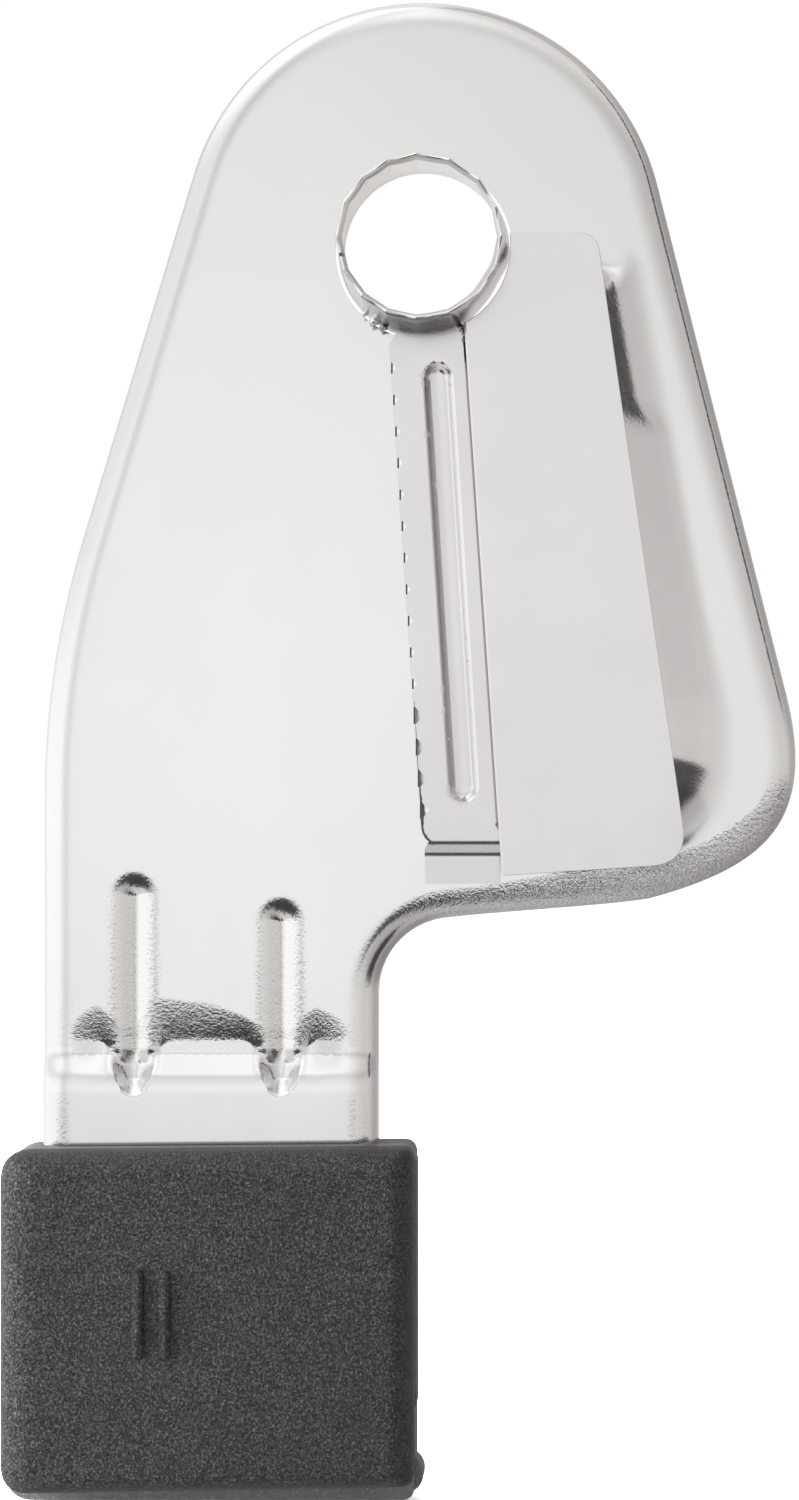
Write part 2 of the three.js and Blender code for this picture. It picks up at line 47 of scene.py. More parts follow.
# ---------------------------------------------------------------- dimensions, mm, mostly the CAD part's
SHEET = 0.8
PLATE_FRONT = 0.6
RIM_RADIUS = 1.8
RIM_DEPTH = 3.6
NECK_LEFT, NECK_RIGHT, NECK_TOP, NECK_BOTTOM = -15.3, 14.9, 45.05, 6.0
RING_X, RING_Z = 19.1, 112.0
RING_REAR, RING_FRONT, RING_R_REAR, RING_R_FRONT, RING_WALL = 2.0, -8.9, 7.7, 7.3, 0.5
TAPER = 0.4  # how much the ring narrows to the front
BORE_RADIUS = 8.0
HEAD_X, HEAD_Z, HEAD_RADIUS = 19.04, 112.9, 21.77
FLANK_X, FLANK_Z, FLANK_RADIUS = 66.7, 62.6, 82
FILLET_X, FILLET_Z, FILLET_RADIUS = 21.75, 45.1, 6.85
EDGE_TOP = (22.38, 113.17)
EDGE_BOTTOM = (26.29, 55.95)
BLADE_BACK, BLADE_T = -2.3, 0.6
STRIP_FRONT, STRIP_T, TAB_FRONT = -0.8, 0.5, -0.2
GRIP_FRONT, GRIP_SEAM, GRIP_BACK = -6.0, -1.4, 6.4
GRIP_WALL = 1.8
SCREW_XS, SCREW_Z = (-8.5, 8.5), 16
BAR_XS = (-5.8, -3.43)
BLADE_LOW, BLADE_HIGH = (42.8, 57, 3.4), (34.65, 113.17, 1.7)


# ---------------------------------------------------------------- outline helpers, all in X and Z, mm
def arc(cx, cz, r, a0, a1, n=48):
    return [(cx + r * math.cos(a), cz + r * math.sin(a)) for a in np.linspace(a0, a1, n)]


def bezier(p0, p1, p2, p3):
    t = np.linspace(0, 1, 40)[:, None]
    p0, p1, p2, p3 = map(np.array, (p0, p1, p2, p3))
    q = (1 - t) ** 3 * p0 + 3 * (1 - t) ** 2 * t * p1 + 3 * (1 - t) * t**2 * p2 + t**3 * p3
    return [tuple(v) for v in q]


def resample(points, step, closed=False):
    p = np.array(points, float)
    if closed:
        p = np.vstack([p, p[:1]])
    length = np.r_[0, np.cumsum(np.hypot(*np.diff(p, axis=0).T))]
    n = max(2, int(round(length[-1] / step)))
    t = np.linspace(0, length[-1], n + 1)
    out = np.c_[np.interp(t, length, p[:, 0]), np.interp(t, length, p[:, 1])]
    return out[:-1] if closed else out


def rounded_polygon(corners, n=8):
    """Corners are (x, z, r); each is eased over r along both sides."""
    out = []
    for i, (x, z, r) in enumerate(corners):
        here = np.array((x, z))
        before = np.array(corners[i - 1][:2]) - here
        after = np.array(corners[(i + 1) % len(corners)][:2]) - here
        start = here + before / np.linalg.norm(before) * r
        end = here + after / np.linalg.norm(after) * r
        for t in np.linspace(0, 1, n):
            out.append(tuple((1 - t) ** 2 * start + 2 * (1 - t) * t * here + t * t * end))
    return out


def inside(points, loop):
    x, z = points[:, 0], points[:, 1]
    out = np.zeros(len(points), bool)
    loop = np.array(loop, float)
    for (x0, z0), (x1, z1) in zip(loop, np.roll(loop, -1, axis=0)):
        if z0 == z1:
            continue
        crosses = (z0 > z) != (z1 > z)
        out ^= crosses & (x < x0 + (x1 - x0) * (z - z0) / (z1 - z0))
    return out


def distance(points, line, closed=False):
    """Distance from each point to a polyline."""
    line = np.array(line, float)
    ends = np.roll(line, -1, axis=0) if closed else line[1:]
    best = np.full(len(points), 1e9)
    for a, b in zip(line, ends):
        d = b - a
        t = np.clip(((points - a) @ d) / max(d @ d, 1e-12), 0, 1)
        best = np.minimum(best, np.hypot(*(points - a - t[:, None] * d).T))
    return best


def at_depth(points, y):
    """Points (x, z) as (x, y, z), with one depth or one for each."""
    points = np.asarray(points, float)
    return np.c_[points[:, 0], np.broadcast_to(y, len(points)), points[:, 1]]


def ease(t):
    t = np.clip(t, 0, 1)
    return t * t * (3 - 2 * t)


# ---------------------------------------------------------------- mesh helpers
CLEARANCE = 0.6  # how far inner points stay from lines, as a share of their spacing
NO_HEIGHT, LOW_HEIGHT = 2e-4, 0.012  # triangles lower than these, mm, are dropped or turned


def triangulate(outline, holes, creases, grids):
    """Fills an outline with a fine mesh. Returns points, triangles and the outline's own indices.
    Creases are open lines that the mesh follows; grids are (x0, x1, z0, z1, step) patches of points."""
    points, edges = [], []

    def add(line, closed):
        first = len(points)
        points.extend(tuple(p) for p in line)
        last = len(points) - 1
        edges.extend((i, i + 1) for i in range(first, last))
        if closed:
            edges.append((last, first))

    add(outline, True)
    for hole in holes:
        add(hole, True)
    for line in creases:
        add(line, False)
    tree = KDTree(len(points))
    for i, (x, z) in enumerate(points):
        tree.insert((x, z, 0), i)
    tree.balance()
    taken = np.zeros((0, 4))
    for x0, x1, z0, z1, step in grids:
        rows = np.arange(z0, z1, step * 0.866)
        cells = []
        for k, z in enumerate(rows):
            xs = np.arange(x0 + (k % 2) * step / 2, x1, step)
            cells.append(np.c_[xs, np.full(len(xs), z)])
        grid = np.vstack(cells)
        for a0, a1, b0, b1 in taken:
            grid = grid[~((grid[:, 0] > a0) & (grid[:, 0] < a1) & (grid[:, 1] > b0) & (grid[:, 1] < b1))]
        taken = np.vstack([taken, (x0, x1, z0, z1)])
        grid = grid[inside(grid, outline)]
        for hole in holes:
            grid = grid[~inside(grid, hole)]
        points.extend((x, z) for x, z in grid if tree.find((x, z, 0))[2] > step * CLEARANCE)
    verts, _, faces, orig, _, _ = delaunay_2d_cdt([Vector(p) for p in points], edges, [], 0, 1e-6)
    verts = np.array([(v.x, v.y) for v in verts])
    faces = np.array(faces)
    centre = verts[faces].mean(axis=1)
    keep = inside(centre, outline)
    for hole in holes:
        keep &= ~inside(centre, hole)
    place = {}
    for k, sources in enumerate(orig):
        for source in sources:
            if source < len(outline):
                place[source] = k
    return verts, without_slivers(verts, faces[keep]), [place[i] for i in range(len(outline))]


def without_slivers(verts, faces):
    """Drops triangles with no height, turns the long side of flat ones and makes all face one way."""
    faces = [list(map(int, f)) for f in faces]

    def twice_area(f):
        a, b, c = verts[f]
        return (b[0] - a[0]) * (c[1] - a[1]) - (b[1] - a[1]) * (c[0] - a[0])

    if sum(twice_area(f) for f in faces) < 0:
        faces = [f[::-1] for f in faces]
    reach = [max(np.hypot(*(verts[f[(k + 1) % 3]] - verts[f[k]])) for k in range(3)) for f in faces]
    faces = [f for f, side in zip(faces, reach) if abs(twice_area(f)) / side > NO_HEIGHT]
    for _ in range(6):
        owner = {(f[k], f[(k + 1) % 3]): i for i, f in enumerate(faces) for k in range(3)}
        touched, dropped = set(), set()
        for i, f in enumerate(faces):
            if i in touched:
                continue
            sides = [np.hypot(*(verts[f[(k + 1) % 3]] - verts[f[k]])) for k in range(3)]
            k = int(np.argmax(sides))
            if abs(twice_area(f)) / sides[k] > LOW_HEIGHT:
                continue
            a, b, c = f[k], f[(k + 1) % 3], f[(k + 2) % 3]
            j = owner.get((b, a))
            if j is None:
                dropped.add(i)
            elif j not in touched:
                d = next(v for v in faces[j] if v not in (a, b))
                pair = [a, d, c], [d, b, c]
                if min(twice_area(g) for g in pair) > twice_area(f):
                    faces[i], faces[j] = pair
                    touched |= {i, j}
        faces = [f for i, f in enumerate(faces) if i not in dropped]
        if not touched and not dropped:
            break
    return np.array(faces)


def shell(front, back, faces):
    """A closed sheet from matching front and back vertices. Faces are given for the front."""
    n = len(front)
    polygons = [tuple(f) for f in faces] + [tuple(int(i) + n for i in reversed(f)) for f in faces]
    seen = {}
    for f in faces:
        for a, b in zip(f, (*f[1:], f[0])):
            seen[(a, b)] = True
    for a, b in list(seen):
        if (b, a) not in seen:
            polygons.append((b, a, a + n, b + n))
    return np.vstack([front, back]), polygons


def make(name, verts, polygons, material, sharp=40, replaces=(), slot=None):
    """An object from vertices in mm."""
    mesh = bpy.data.meshes.new(name)
    verts = [tuple(v) for v in np.array(verts, float) * MM]
    mesh.from_pydata(verts, [], [tuple(map(int, p)) for p in polygons])
    mesh.validate()
    mesh.update()
    mesh.materials.append(material)
    mesh.shade_smooth()
    mesh.set_sharp_from_angle(angle=math.radians(sharp))
    o = bpy.data.objects.new(name, mesh)
    bpy.context.scene.collection.objects.link(o)
    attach(o, "root")
    if replaces:
        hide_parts(*replaces)
    return o


def mark(o, name, values):
    layer = o.data.attributes.new(name, "FLOAT", "POINT")
    layer.data.foreach_set("value", np.asarray(values, np.float32))


def merge(*parts):
    """Joins several (verts, polygons) into one."""
    verts, polygons, base = [], [], 0
    for v, f in parts:
        verts.append(np.array(v, float))
        polygons += [tuple(int(i) + base for i in p) for p in f]
        base += len(v)
    return np.vstack(verts), polygons


# ---------------------------------------------------------------- materials
def node(tree, kind, **inputs):
    n = tree.nodes.new(kind)
    for key, value in inputs.items():
        if key.startswith("_"):
            setattr(n, key[1:], value)
        else:
            n.inputs[key.replace("__", " ")].default_value = value
    return n


def ramp(tree, source, stops):
    n = tree.nodes.new("ShaderNodeValToRGB")
    tree.links.new(source, n.inputs["Fac"])
    elements = n.color_ramp.elements
    while len(elements) < len(stops):
        elements.new(0.5)
    for e, (position, colour) in zip(elements, stops):
        e.position = position
        e.color = (*colour, 1) if len(colour) == 3 else (colour[0],) * 3 + (1,)
    return n.outputs["Color"]


def mapped(tree, scale):
    coordinates = node(tree, "ShaderNodeTexCoord")
    mapping = node(tree, "ShaderNodeMapping")
    mapping.inputs["Scale"].default_value = scale
    tree.links.new(coordinates.outputs["Object"], mapping.inputs["Vector"])
    return mapping.outputs["Vector"]


def noise(tree, scale, size, detail, roughness=0.55):
    n = node(tree, "ShaderNodeTexNoise", Scale=size, Detail=detail, Roughness=roughness)
    tree.links.new(mapped(tree, scale), n.inputs["Vector"])
    return n.outputs["Fac"]


def mix(tree, a, b, factor):
    n = tree.nodes.new("ShaderNodeMix")
    n.data_type = "RGBA"
    for value, place in ((factor, 0), (a, 6), (b, 7)):
        if isinstance(value, bpy.types.NodeSocket):
            tree.links.new(value, n.inputs[place])
        else:
            n.inputs[place].default_value = value if place == 0 else (*value, 1)
    return n.outputs[2]


def math_node(tree, kind, a, b=0.0, c=0.0):
    n = tree.nodes.new("ShaderNodeMath")
    n.operation = kind
    for i, value in enumerate((a, b, c)):
        if isinstance(value, bpy.types.NodeSocket):
            tree.links.new(value, n.inputs[i])
        else:
            n.inputs[i].default_value = value
    return n.outputs[0]


def bump(tree, height, strength, depth, normal=None):
    n = node(tree, "ShaderNodeBump", Strength=strength, Distance=depth)
    tree.links.new(height, n.inputs["Height"])
    if normal:
        tree.links.new(normal, n.inputs["Normal"])
    return n.outputs["Normal"]


def steel(name, light, dark, rough, grain, bump_strength, strain=0.0, tint=None):
    """Rolled stainless: faint grain one way, cloudy roughness, and orange peel where it is strained."""
    m = bpy.data.materials.new(name)
    m.use_nodes = True
    t = m.node_tree
    bsdf = t.nodes["Principled BSDF"]
    bsdf.inputs["Metallic"].default_value = 1.0
    lines = noise(t, grain, 60, 4)
    cloud = noise(t, (1, 1, 1), 95, 3)
    speck = noise(t, (1, 1, 1), 5200, 2)
    colour = mix(t, dark, light, math_node(t, "MULTIPLY_ADD", lines, 0.6, 0.2))
    dull = tuple(c * 0.94 for c in light)
    colour = mix(t, colour, dull, ramp(t, cloud, [(0.35, (0,)), (0.75, (0.6,))]))
    # painted shade: the marked patch is darkened towards a dark brown, in noisy patches
    if tint:
        attribute = node(t, "ShaderNodeAttribute", _attribute_name="tint")
        patches = ramp(t, noise(t, (1, 1, 1), 3000, 4), [(0.3, (0.45,)), (0.7, (1,))])
        factor = math_node(t, "MULTIPLY", attribute.outputs["Fac"], patches)
        colour = mix(t, colour, tint, factor)
    t.links.new(colour, bsdf.inputs["Base Color"])
    value = math_node(t, "MULTIPLY", cloud, rough * 0.5)
    value = math_node(t, "ADD", value, rough * 0.75)
    value = math_node(t, "ADD", value, math_node(t, "MULTIPLY", lines, rough * 0.25))
    t.links.new(value, bsdf.inputs["Roughness"])
    normal = bump(t, lines, bump_strength, 0.00002)
    if strain:
        attribute = node(t, "ShaderNodeAttribute", _attribute_name="strain")
        peel = math_node(t, "SUBTRACT", noise(t, (1, 1, 1), 3500, 2, 0.7), 0.5)
        peel = math_node(t, "MULTIPLY", peel, attribute.outputs["Fac"])
        normal = bump(t, peel, strain, 0.00008, normal)
    normal = bump(t, speck, bump_strength * 0.6, 0.00001, normal)
    t.links.new(normal, bsdf.inputs["Normal"])
    return m


def plastic(name, light, dark, rough, grain_size, strength):
    """Moulded plastic with spark-eroded grain."""
    m = bpy.data.materials.new(name)
    m.use_nodes = True
    t = m.node_tree
    bsdf = t.nodes["Principled BSDF"]
    grain = noise(t, (1, 1, 1), grain_size, 4, 0.6)
    fine = noise(t, (1, 1, 1), grain_size * 2.3, 2, 0.6)
    cloud = noise(t, (1, 1, 1), 120, 3)
    colour = mix(t, dark, light, ramp(t, grain, [(0.4, (0,)), (0.56, (0.3,)), (0.7, (1,))]))
    deep = tuple(c * 0.8 for c in dark)
    colour = mix(t, colour, deep, ramp(t, cloud, [(0.35, (0,)), (0.8, (0.2,))]))
    t.links.new(colour, bsdf.inputs["Base Color"])
    value = math_node(t, "ADD", math_node(t, "MULTIPLY", fine, 0.25), rough - 0.12)
    t.links.new(value, bsdf.inputs["Roughness"])
    normal = bump(t, grain, strength, 0.00016)
    normal = bump(t, fine, strength * 0.7, 0.00007, normal)
    t.links.new(normal, bsdf.inputs["Normal"])
    return m


PLATE_STEEL = steel("plate_steel", (0.83, 0.83, 0.825), (0.76, 0.758, 0.755), 0.11,
                    grain=(700, 60, 40), bump_strength=0.03, strain=1.0)
BLADE_STEEL = steel("blade_steel", (0.83, 0.812, 0.818), (0.775, 0.755, 0.76), 0.2,
                    grain=(40, 60, 700), bump_strength=0.03)
STRIP_STEEL = steel("strip_steel", (0.8, 0.785, 0.775), (0.73, 0.715, 0.705), 0.19,
                    grain=(700, 60, 40), bump_strength=0.04)
RING_STEEL = steel("ring_steel", (0.93, 0.92, 0.91), (0.8, 0.785, 0.77), 0.2,
                   grain=(60, 700, 60), bump_strength=0.08, tint=(0.07, 0.055, 0.045))
# painted shade: near-black steel for bars placed where only shadow lies under the strip's edge
SHADE_STEEL = steel("painted_shade_steel", (0.2, 0.19, 0.18), (0.07, 0.065, 0.06), 0.4,
                  grain=(300, 700, 300), bump_strength=0.2)
# lit and shaded copies of one ground facet steel: the darker, rougher copy is painted shade, the lighter
# copy a painted highlight
SHADED_FACET_STEEL = steel("shaded_facet_steel", (0.96, 0.95, 0.94), (0.8, 0.79, 0.78), 0.42,
                     grain=(700, 300, 900), bump_strength=0.3)
LIT_FACET_STEEL = steel("lit_facet_steel", (0.98, 0.98, 0.97), (0.93, 0.93, 0.92), 0.3,
                     grain=(700, 300, 900), bump_strength=0.1)
SCREW_STEEL = steel("screw_steel", (0.62, 0.61, 0.6), (0.48, 0.47, 0.46), 0.32,
                    grain=(200, 200, 200), bump_strength=0.06)
GRIP_PLASTIC = plastic("grip_plastic", (0.044, 0.0425, 0.041), (0.0018, 0.0017, 0.0016), 0.5, 4800, 1.0)
BACK_PLASTIC = plastic("back_plastic", (0.085, 0.083, 0.081), (0.045, 0.044, 0.043), 0.5, 4200, 0.35)


# ---------------------------------------------------------------- base plate
def plate_path():
    """The plate's outer edge from the tang's lower left, over the head, to the tang's lower right."""
    flank_left, flank_right = math.radians(163.15), math.radians(14.3)
    path = [(NECK_LEFT, NECK_BOTTOM), (NECK_LEFT, FLANK_Z)]
    path += arc(FLANK_X, FLANK_Z, FLANK_RADIUS, math.pi, flank_left)[1:]
    path += arc(HEAD_X, HEAD_Z, HEAD_RADIUS, flank_left, flank_right, 160)
    path += bezier((51.8, 72.2), (54.75, 60.57), (49.93, 56.49), (39.37, 53.63))
    path += bezier((39.37, 53.63), (34.5, 52.9), (27.15, 52.6), fillet_point(95))[1:]
    path += arc(FILLET_X, FILLET_Z, FILLET_RADIUS, math.radians(95), math.pi)[1:]
    path += [(NECK_RIGHT, NECK_TOP), (NECK_RIGHT, NECK_BOTTOM)]
    return path


def fillet_point(degrees):
    a = math.radians(degrees)
    return FILLET_X + FILLET_RADIUS * math.cos(a), FILLET_Z + FILLET_RADIUS * math.sin(a)


NECK_BAND, NECK_CREASE = 41.15, 39.75
NECK_DIP = 0.3
# where the dip starts across the neck: x, z
DIP_START = [(-16, 42), (-13, 42.4), (-11.5, 43.6), (-10.4, 44.2), (-9.2, 43.4), (-8, 42.6), (-7, 42.4),
             (-5.6, 44.9), (-4.6, 44.9), (0, 44.3), (2.5, 43.4), (4.3, 42.4), (7.4, 42.4), (8.6, 43.6),
             (9.6, 44), (10.8, 43.4), (12.4, 42.4), (16, 42)]


def neck_step(x, z):
    """How far the neck lies behind the plate's front: a dip, a narrow shelf, then a sharp rise."""
    x, z = np.asarray(x, float), np.asarray(z, float)
    start = np.interp(x, *zip(*DIP_START))
    near = np.min([np.abs(x - gx) for gx, _ in GROOVES], axis=0)
    band = NECK_BAND - 0.75 * np.exp(-(((near - 2.1) / 0.75) ** 2)) * (near > 1)
    deep = NECK_DIP * ease((x - NECK_LEFT - 2.2) / 3.6) * ease((NECK_RIGHT - 2.6 - x) / 3.6)
    deep = deep * ease((near - 1.2) / 1.3)
    t = np.clip((start - z) / (start - band), 0, 1)
    dip = deep * t**1.7
    slope, straight, bend = 0.575, 1.65, 0.25
    tail_slope, tail, full_rise = 0.25, 1.5, 1.24
    knee = NECK_CREASE - straight
    down = np.clip(NECK_CREASE - z, 0, straight)
    after = np.clip(knee - z, 0, bend)
    last = np.clip(knee - bend - z, 0, tail)
    rise = slope * down + slope * after - (slope - tail_slope) / (2 * bend) * after**2
    rise = rise + tail_slope * last - tail_slope * last**2 / (2 * tail)
    return np.where(z > NECK_CREASE, dip, deep - rise * (1.0 + deep) / full_rise)


GROOVES = [(-7.0, 56.3), (6.2, 54.0)]
GROOVE_HALF, GROOVE_DEPTH, GROOVE_TIP = 2.3, 0.82, 36.05


def groove_half(z):
    t = np.clip((z - GROOVE_TIP) / 4, 0, 1)
    return np.maximum(GROOVE_HALF * t**0.42, 0.02)


def groove_reach(x, z, gx, top):
    """0 at the valley, 1 at the groove's lip, above 1 outside."""
    centre = top - GROOVE_HALF
    across = np.abs(x - gx) / groove_half(z)
    over = np.hypot(x - gx, z - centre) / GROOVE_HALF
    reach = np.where(z > centre, over, across)
    return np.where(z < GROOVE_TIP, 9.0, reach)


TABLE_TOP = [(32.2, 61.4, 2), (42.1, 61.9, 9.5), (33.4, 109.4, 0.9), (32.0, 109.4, 0.6)]
TABLE_HEIGHT, TABLE_WALL = 2.6, 5.6


def table_lift(points):
    top = np.array(rounded_polygon(TABLE_TOP))
    out = distance(points, top, closed=True)
    out[inside(points, top)] = 0
    low_right = ease((points[:, 0] - 36) / 8) * ease((84 - points[:, 1]) / 30)
    high_left = ease((points[:, 1] - 108) / 3) * ease((38 - points[:, 0]) / 3)
    t = np.clip(out / (TABLE_WALL + 1.6 * low_right - 3.2 * high_left), 0, 1)
    a = 0.12  # shares of the wall that the top and foot bends take
    b = 0.26 + 0.5 * low_right + 0.3 * ease((points[:, 1] - 95.5) / 3)
    area = 1 - (a + b) / 2
    bend_in = t**2 / (2 * a)
    straight = a / 2 + (t - a)
    bend_out = area - (1 - t) ** 2 / (2 * b)
    return TABLE_HEIGHT * (1 - np.where(t < a, bend_in, np.where(t < 1 - b, straight, bend_out)) / area)


def plate_relief(points):
    """Y of the plate's front face, mm."""
    x, z = points[:, 0], points[:, 1]
    surface = PLATE_FRONT + neck_step(x, z)
    y = surface.copy()
    levels = [PLATE_FRONT - 1.0, PLATE_FRONT + 0.55, PLATE_FRONT + GROOVE_DEPTH]
    valley_y = np.interp(z, [GROOVE_TIP, 37.5, 39.5], levels)
    for gx, top in GROOVES:
        q = np.clip(groove_reach(x, z, gx, top), 0, 1)
        stern = ease((40.2 - z) / 1.6)
        section = (1 - stern) * (1 - q) ** 2.1 + stern * (1 - q**2.2)
        y = np.maximum(y, surface + np.maximum(valley_y - surface, 0) * section)
    return y - table_lift(points)


RIM_ROWS = 12


def rim_section(power):
    """Rows of the rolled rim from its start on the flat to its edge, for a bend that tightens outwards.
    Returns inset from the outer edge, depth and tilt of each row, mm and radians."""
    fine = np.linspace(0, 1, 241)
    tilt = math.pi / 2 * fine**power
    x = np.r_[0, np.cumsum(np.cos((tilt[1:] + tilt[:-1]) / 2))]
    y = np.r_[0, np.cumsum(np.sin((tilt[1:] + tilt[:-1]) / 2))]
    scale = RIM_RADIUS / y[-1]
    rows = np.linspace(0, 1, RIM_ROWS + 1)
    return [np.interp(rows, fine, v) for v in (x[-1] * scale - x * scale, y * scale, tilt)]


def base_plate():
    path = resample(plate_path(), 0.42)
    tangent = np.gradient(path, axis=0)
    tangent /= np.hypot(*tangent.T)[:, None]
    inward = np.c_[tangent[:, 1], -tangent[:, 0]]
    foot = ease((path[:, 0] - 24) / 8) * ease((62 - path[:, 1]) / 5)
    powers = 1.7 + 0.45 * foot
    sections = np.array([rim_section(p) for p in powers])  # path point, (inset, depth, tilt), row
    inner = path + inward * sections[:, 0, 0][:, None]
    slot = rounded_polygon([(19.8, 60.2, 1.2), (32, 60.2, 1.2), (30, 102.4, 1.2), (17, 102.4, 1.2)])
    slot = resample(slot, 0.5, True)
    bore = arc(RING_X, RING_Z, BORE_RADIUS, 0, 2 * math.pi, 97)[:-1]
    holes = [slot, bore] + [arc(x, SCREW_Z, 2, 0, 2 * math.pi, 33)[:-1] for x in SCREW_XS]
    left, right = inner[0, 0] + 0.2, inner[-1, 0] - 0.2
    stops = [left] + [gx + side * GROOVE_HALF for gx, _ in GROOVES for side in (-1, 1)] + [right]
    creases = []
    for a, b in zip(stops[::2], stops[1::2]):
        creases.append(resample([(a, NECK_CREASE), (b, NECK_CREASE)], 0.25))
    for gx, top in GROOVES:
        creases.append(resample([(gx, GROOVE_TIP + 0.1), (gx, top - GROOVE_HALF)], 0.2))
    bottom = resample([tuple(inner[-1]), tuple(inner[0])], 1.0)[1:-1]
    outline = np.vstack([inner, bottom])
    grids = [(-9.8, -4.2, 35.0, 57, 0.19), (3.4, 9, 35.0, 54.5, 0.19), (-14, 13.6, 34.8, 45.5, 0.2),
             (33, 50, 54, 113, 0.45), (20, 36, 53, 61, 0.45), (24, 36, 103, 115, 0.5),
             (-16, 54, 5, 136, 0.9)]
    flat, faces, place = triangulate(outline, holes, creases, grids)
    y = plate_relief(flat)
    front, back = [at_depth(flat, y)], [at_depth(flat, y + SHEET)]
    lift = table_lift(flat)
    start = np.interp(flat[:, 0], *zip(*DIP_START))
    low = np.where(flat[:, 1] > NECK_CREASE, 0.75 * ease((start + 0.3 - flat[:, 1]) / 1.2), 0.08)
    low = low * (1 - 0.9 * ease((NECK_BAND + 0.1 - flat[:, 1]) / 0.5))
    low = low * ease((flat[:, 1] - 34) / 3) * ease((flat[:, 0] - NECK_LEFT - 2) / 2)
    low = low * ease((NECK_RIGHT - 2 - flat[:, 0]) / 2)
    strain = np.maximum(low, 0.12 * ease(lift * 2) * (lift < 2.45))
    for gx, top in GROOVES:
        strain = np.maximum(strain, 0.3 * ease(2.6 - 2 * groove_reach(flat[:, 0], flat[:, 1], gx, top)))
    strained = [strain]
    rows = [np.array(place[: len(inner)])]
    count = len(flat)
    shift = neck_step(path[:, 0], path[:, 1])
    inner_lift = table_lift(inner)
    for k in range(1, RIM_ROWS + 2):
        inset, depth, tilt = sections[:, :, min(k, RIM_ROWS)].T
        out = path + inward * inset[:, None]
        inn = path + inward * (inset + SHEET * np.sin(tilt))[:, None]
        if k > RIM_ROWS:
            yf = yb = PLATE_FRONT + RIM_DEPTH
        else:
            raised = shift - inner_lift * (1 - k / RIM_ROWS) ** 2
            yf = PLATE_FRONT + depth + raised
            yb = PLATE_FRONT + depth + SHEET * np.cos(tilt) + raised
        front.append(at_depth(out, yf))
        back.append(at_depth(inn, yb))
        pull = (0.3 + 2.2 * min(1, k / 4)) * ease((path[:, 0] - 10) / 6)
        pull = pull * ease((66 - path[:, 1]) / 8) * ease((path[:, 1] - 50) / 5)
        strained.append(0.12 + pull)
        rows.append(np.arange(count, count + len(path)))
        count += len(path)
    quads = [(a[i], a[i + 1], b[i + 1], b[i])
             for a, b in zip(rows, rows[1:]) for i in range(len(path) - 1)]
    verts, polygons = shell(np.vstack(front), np.vstack(back), [tuple(f) for f in faces] + quads)
    o = make("base_plate_sheet", verts, polygons, PLATE_STEEL, sharp=38, replaces=["base_plate"],
             slot="plate_steel")
    mark(o, "strain", np.tile(np.concatenate(strained), 2))


# ---------------------------------------------------------------- blade
def slab(outline, y0, y1, chamfer=0.0):
    """A closed slab of one outline between two depths, with a small chamfer round both faces."""
    p = np.array(outline, float)
    n = len(p)
    tangent = np.roll(p, -1, axis=0) - np.roll(p, 1, axis=0)
    tangent /= np.hypot(*tangent.T)[:, None]
    area = 0.5 * np.sum(p[:, 0] * np.roll(p[:, 1], -1) - np.roll(p[:, 0], -1) * p[:, 1])
    inward = np.c_[-tangent[:, 1], tangent[:, 0]] * (1 if area > 0 else -1)
    levels = [(p, y0), (p, y1)]
    if chamfer:
        drawn_in = p + inward * chamfer
        levels = [(drawn_in, y0), (p, y0 + chamfer), (p, y1 - chamfer), (drawn_in, y1)]
    verts = np.vstack([at_depth(q, y) for q, y in levels])
    order = list(range(n)) if area > 0 else list(range(n - 1, -1, -1))
    top = tuple(order)
    last = (len(levels) - 1) * n
    polygons = [top, tuple(last + i for i in reversed(order))]
    for k in range(len(levels) - 1):
        for a, b in zip(order, order[1:] + order[:1]):
            polygons.append((b + k * n, a + k * n, a + (k + 1) * n, b + (k + 1) * n))
    return verts, polygons


def edge_x(z):
    """Where the blade's cutting edge is at a height."""
    share = (z - EDGE_BOTTOM[1]) / (EDGE_TOP[1] - EDGE_BOTTOM[1])
    return EDGE_BOTTOM[0] + share * (EDGE_TOP[0] - EDGE_BOTTOM[0])


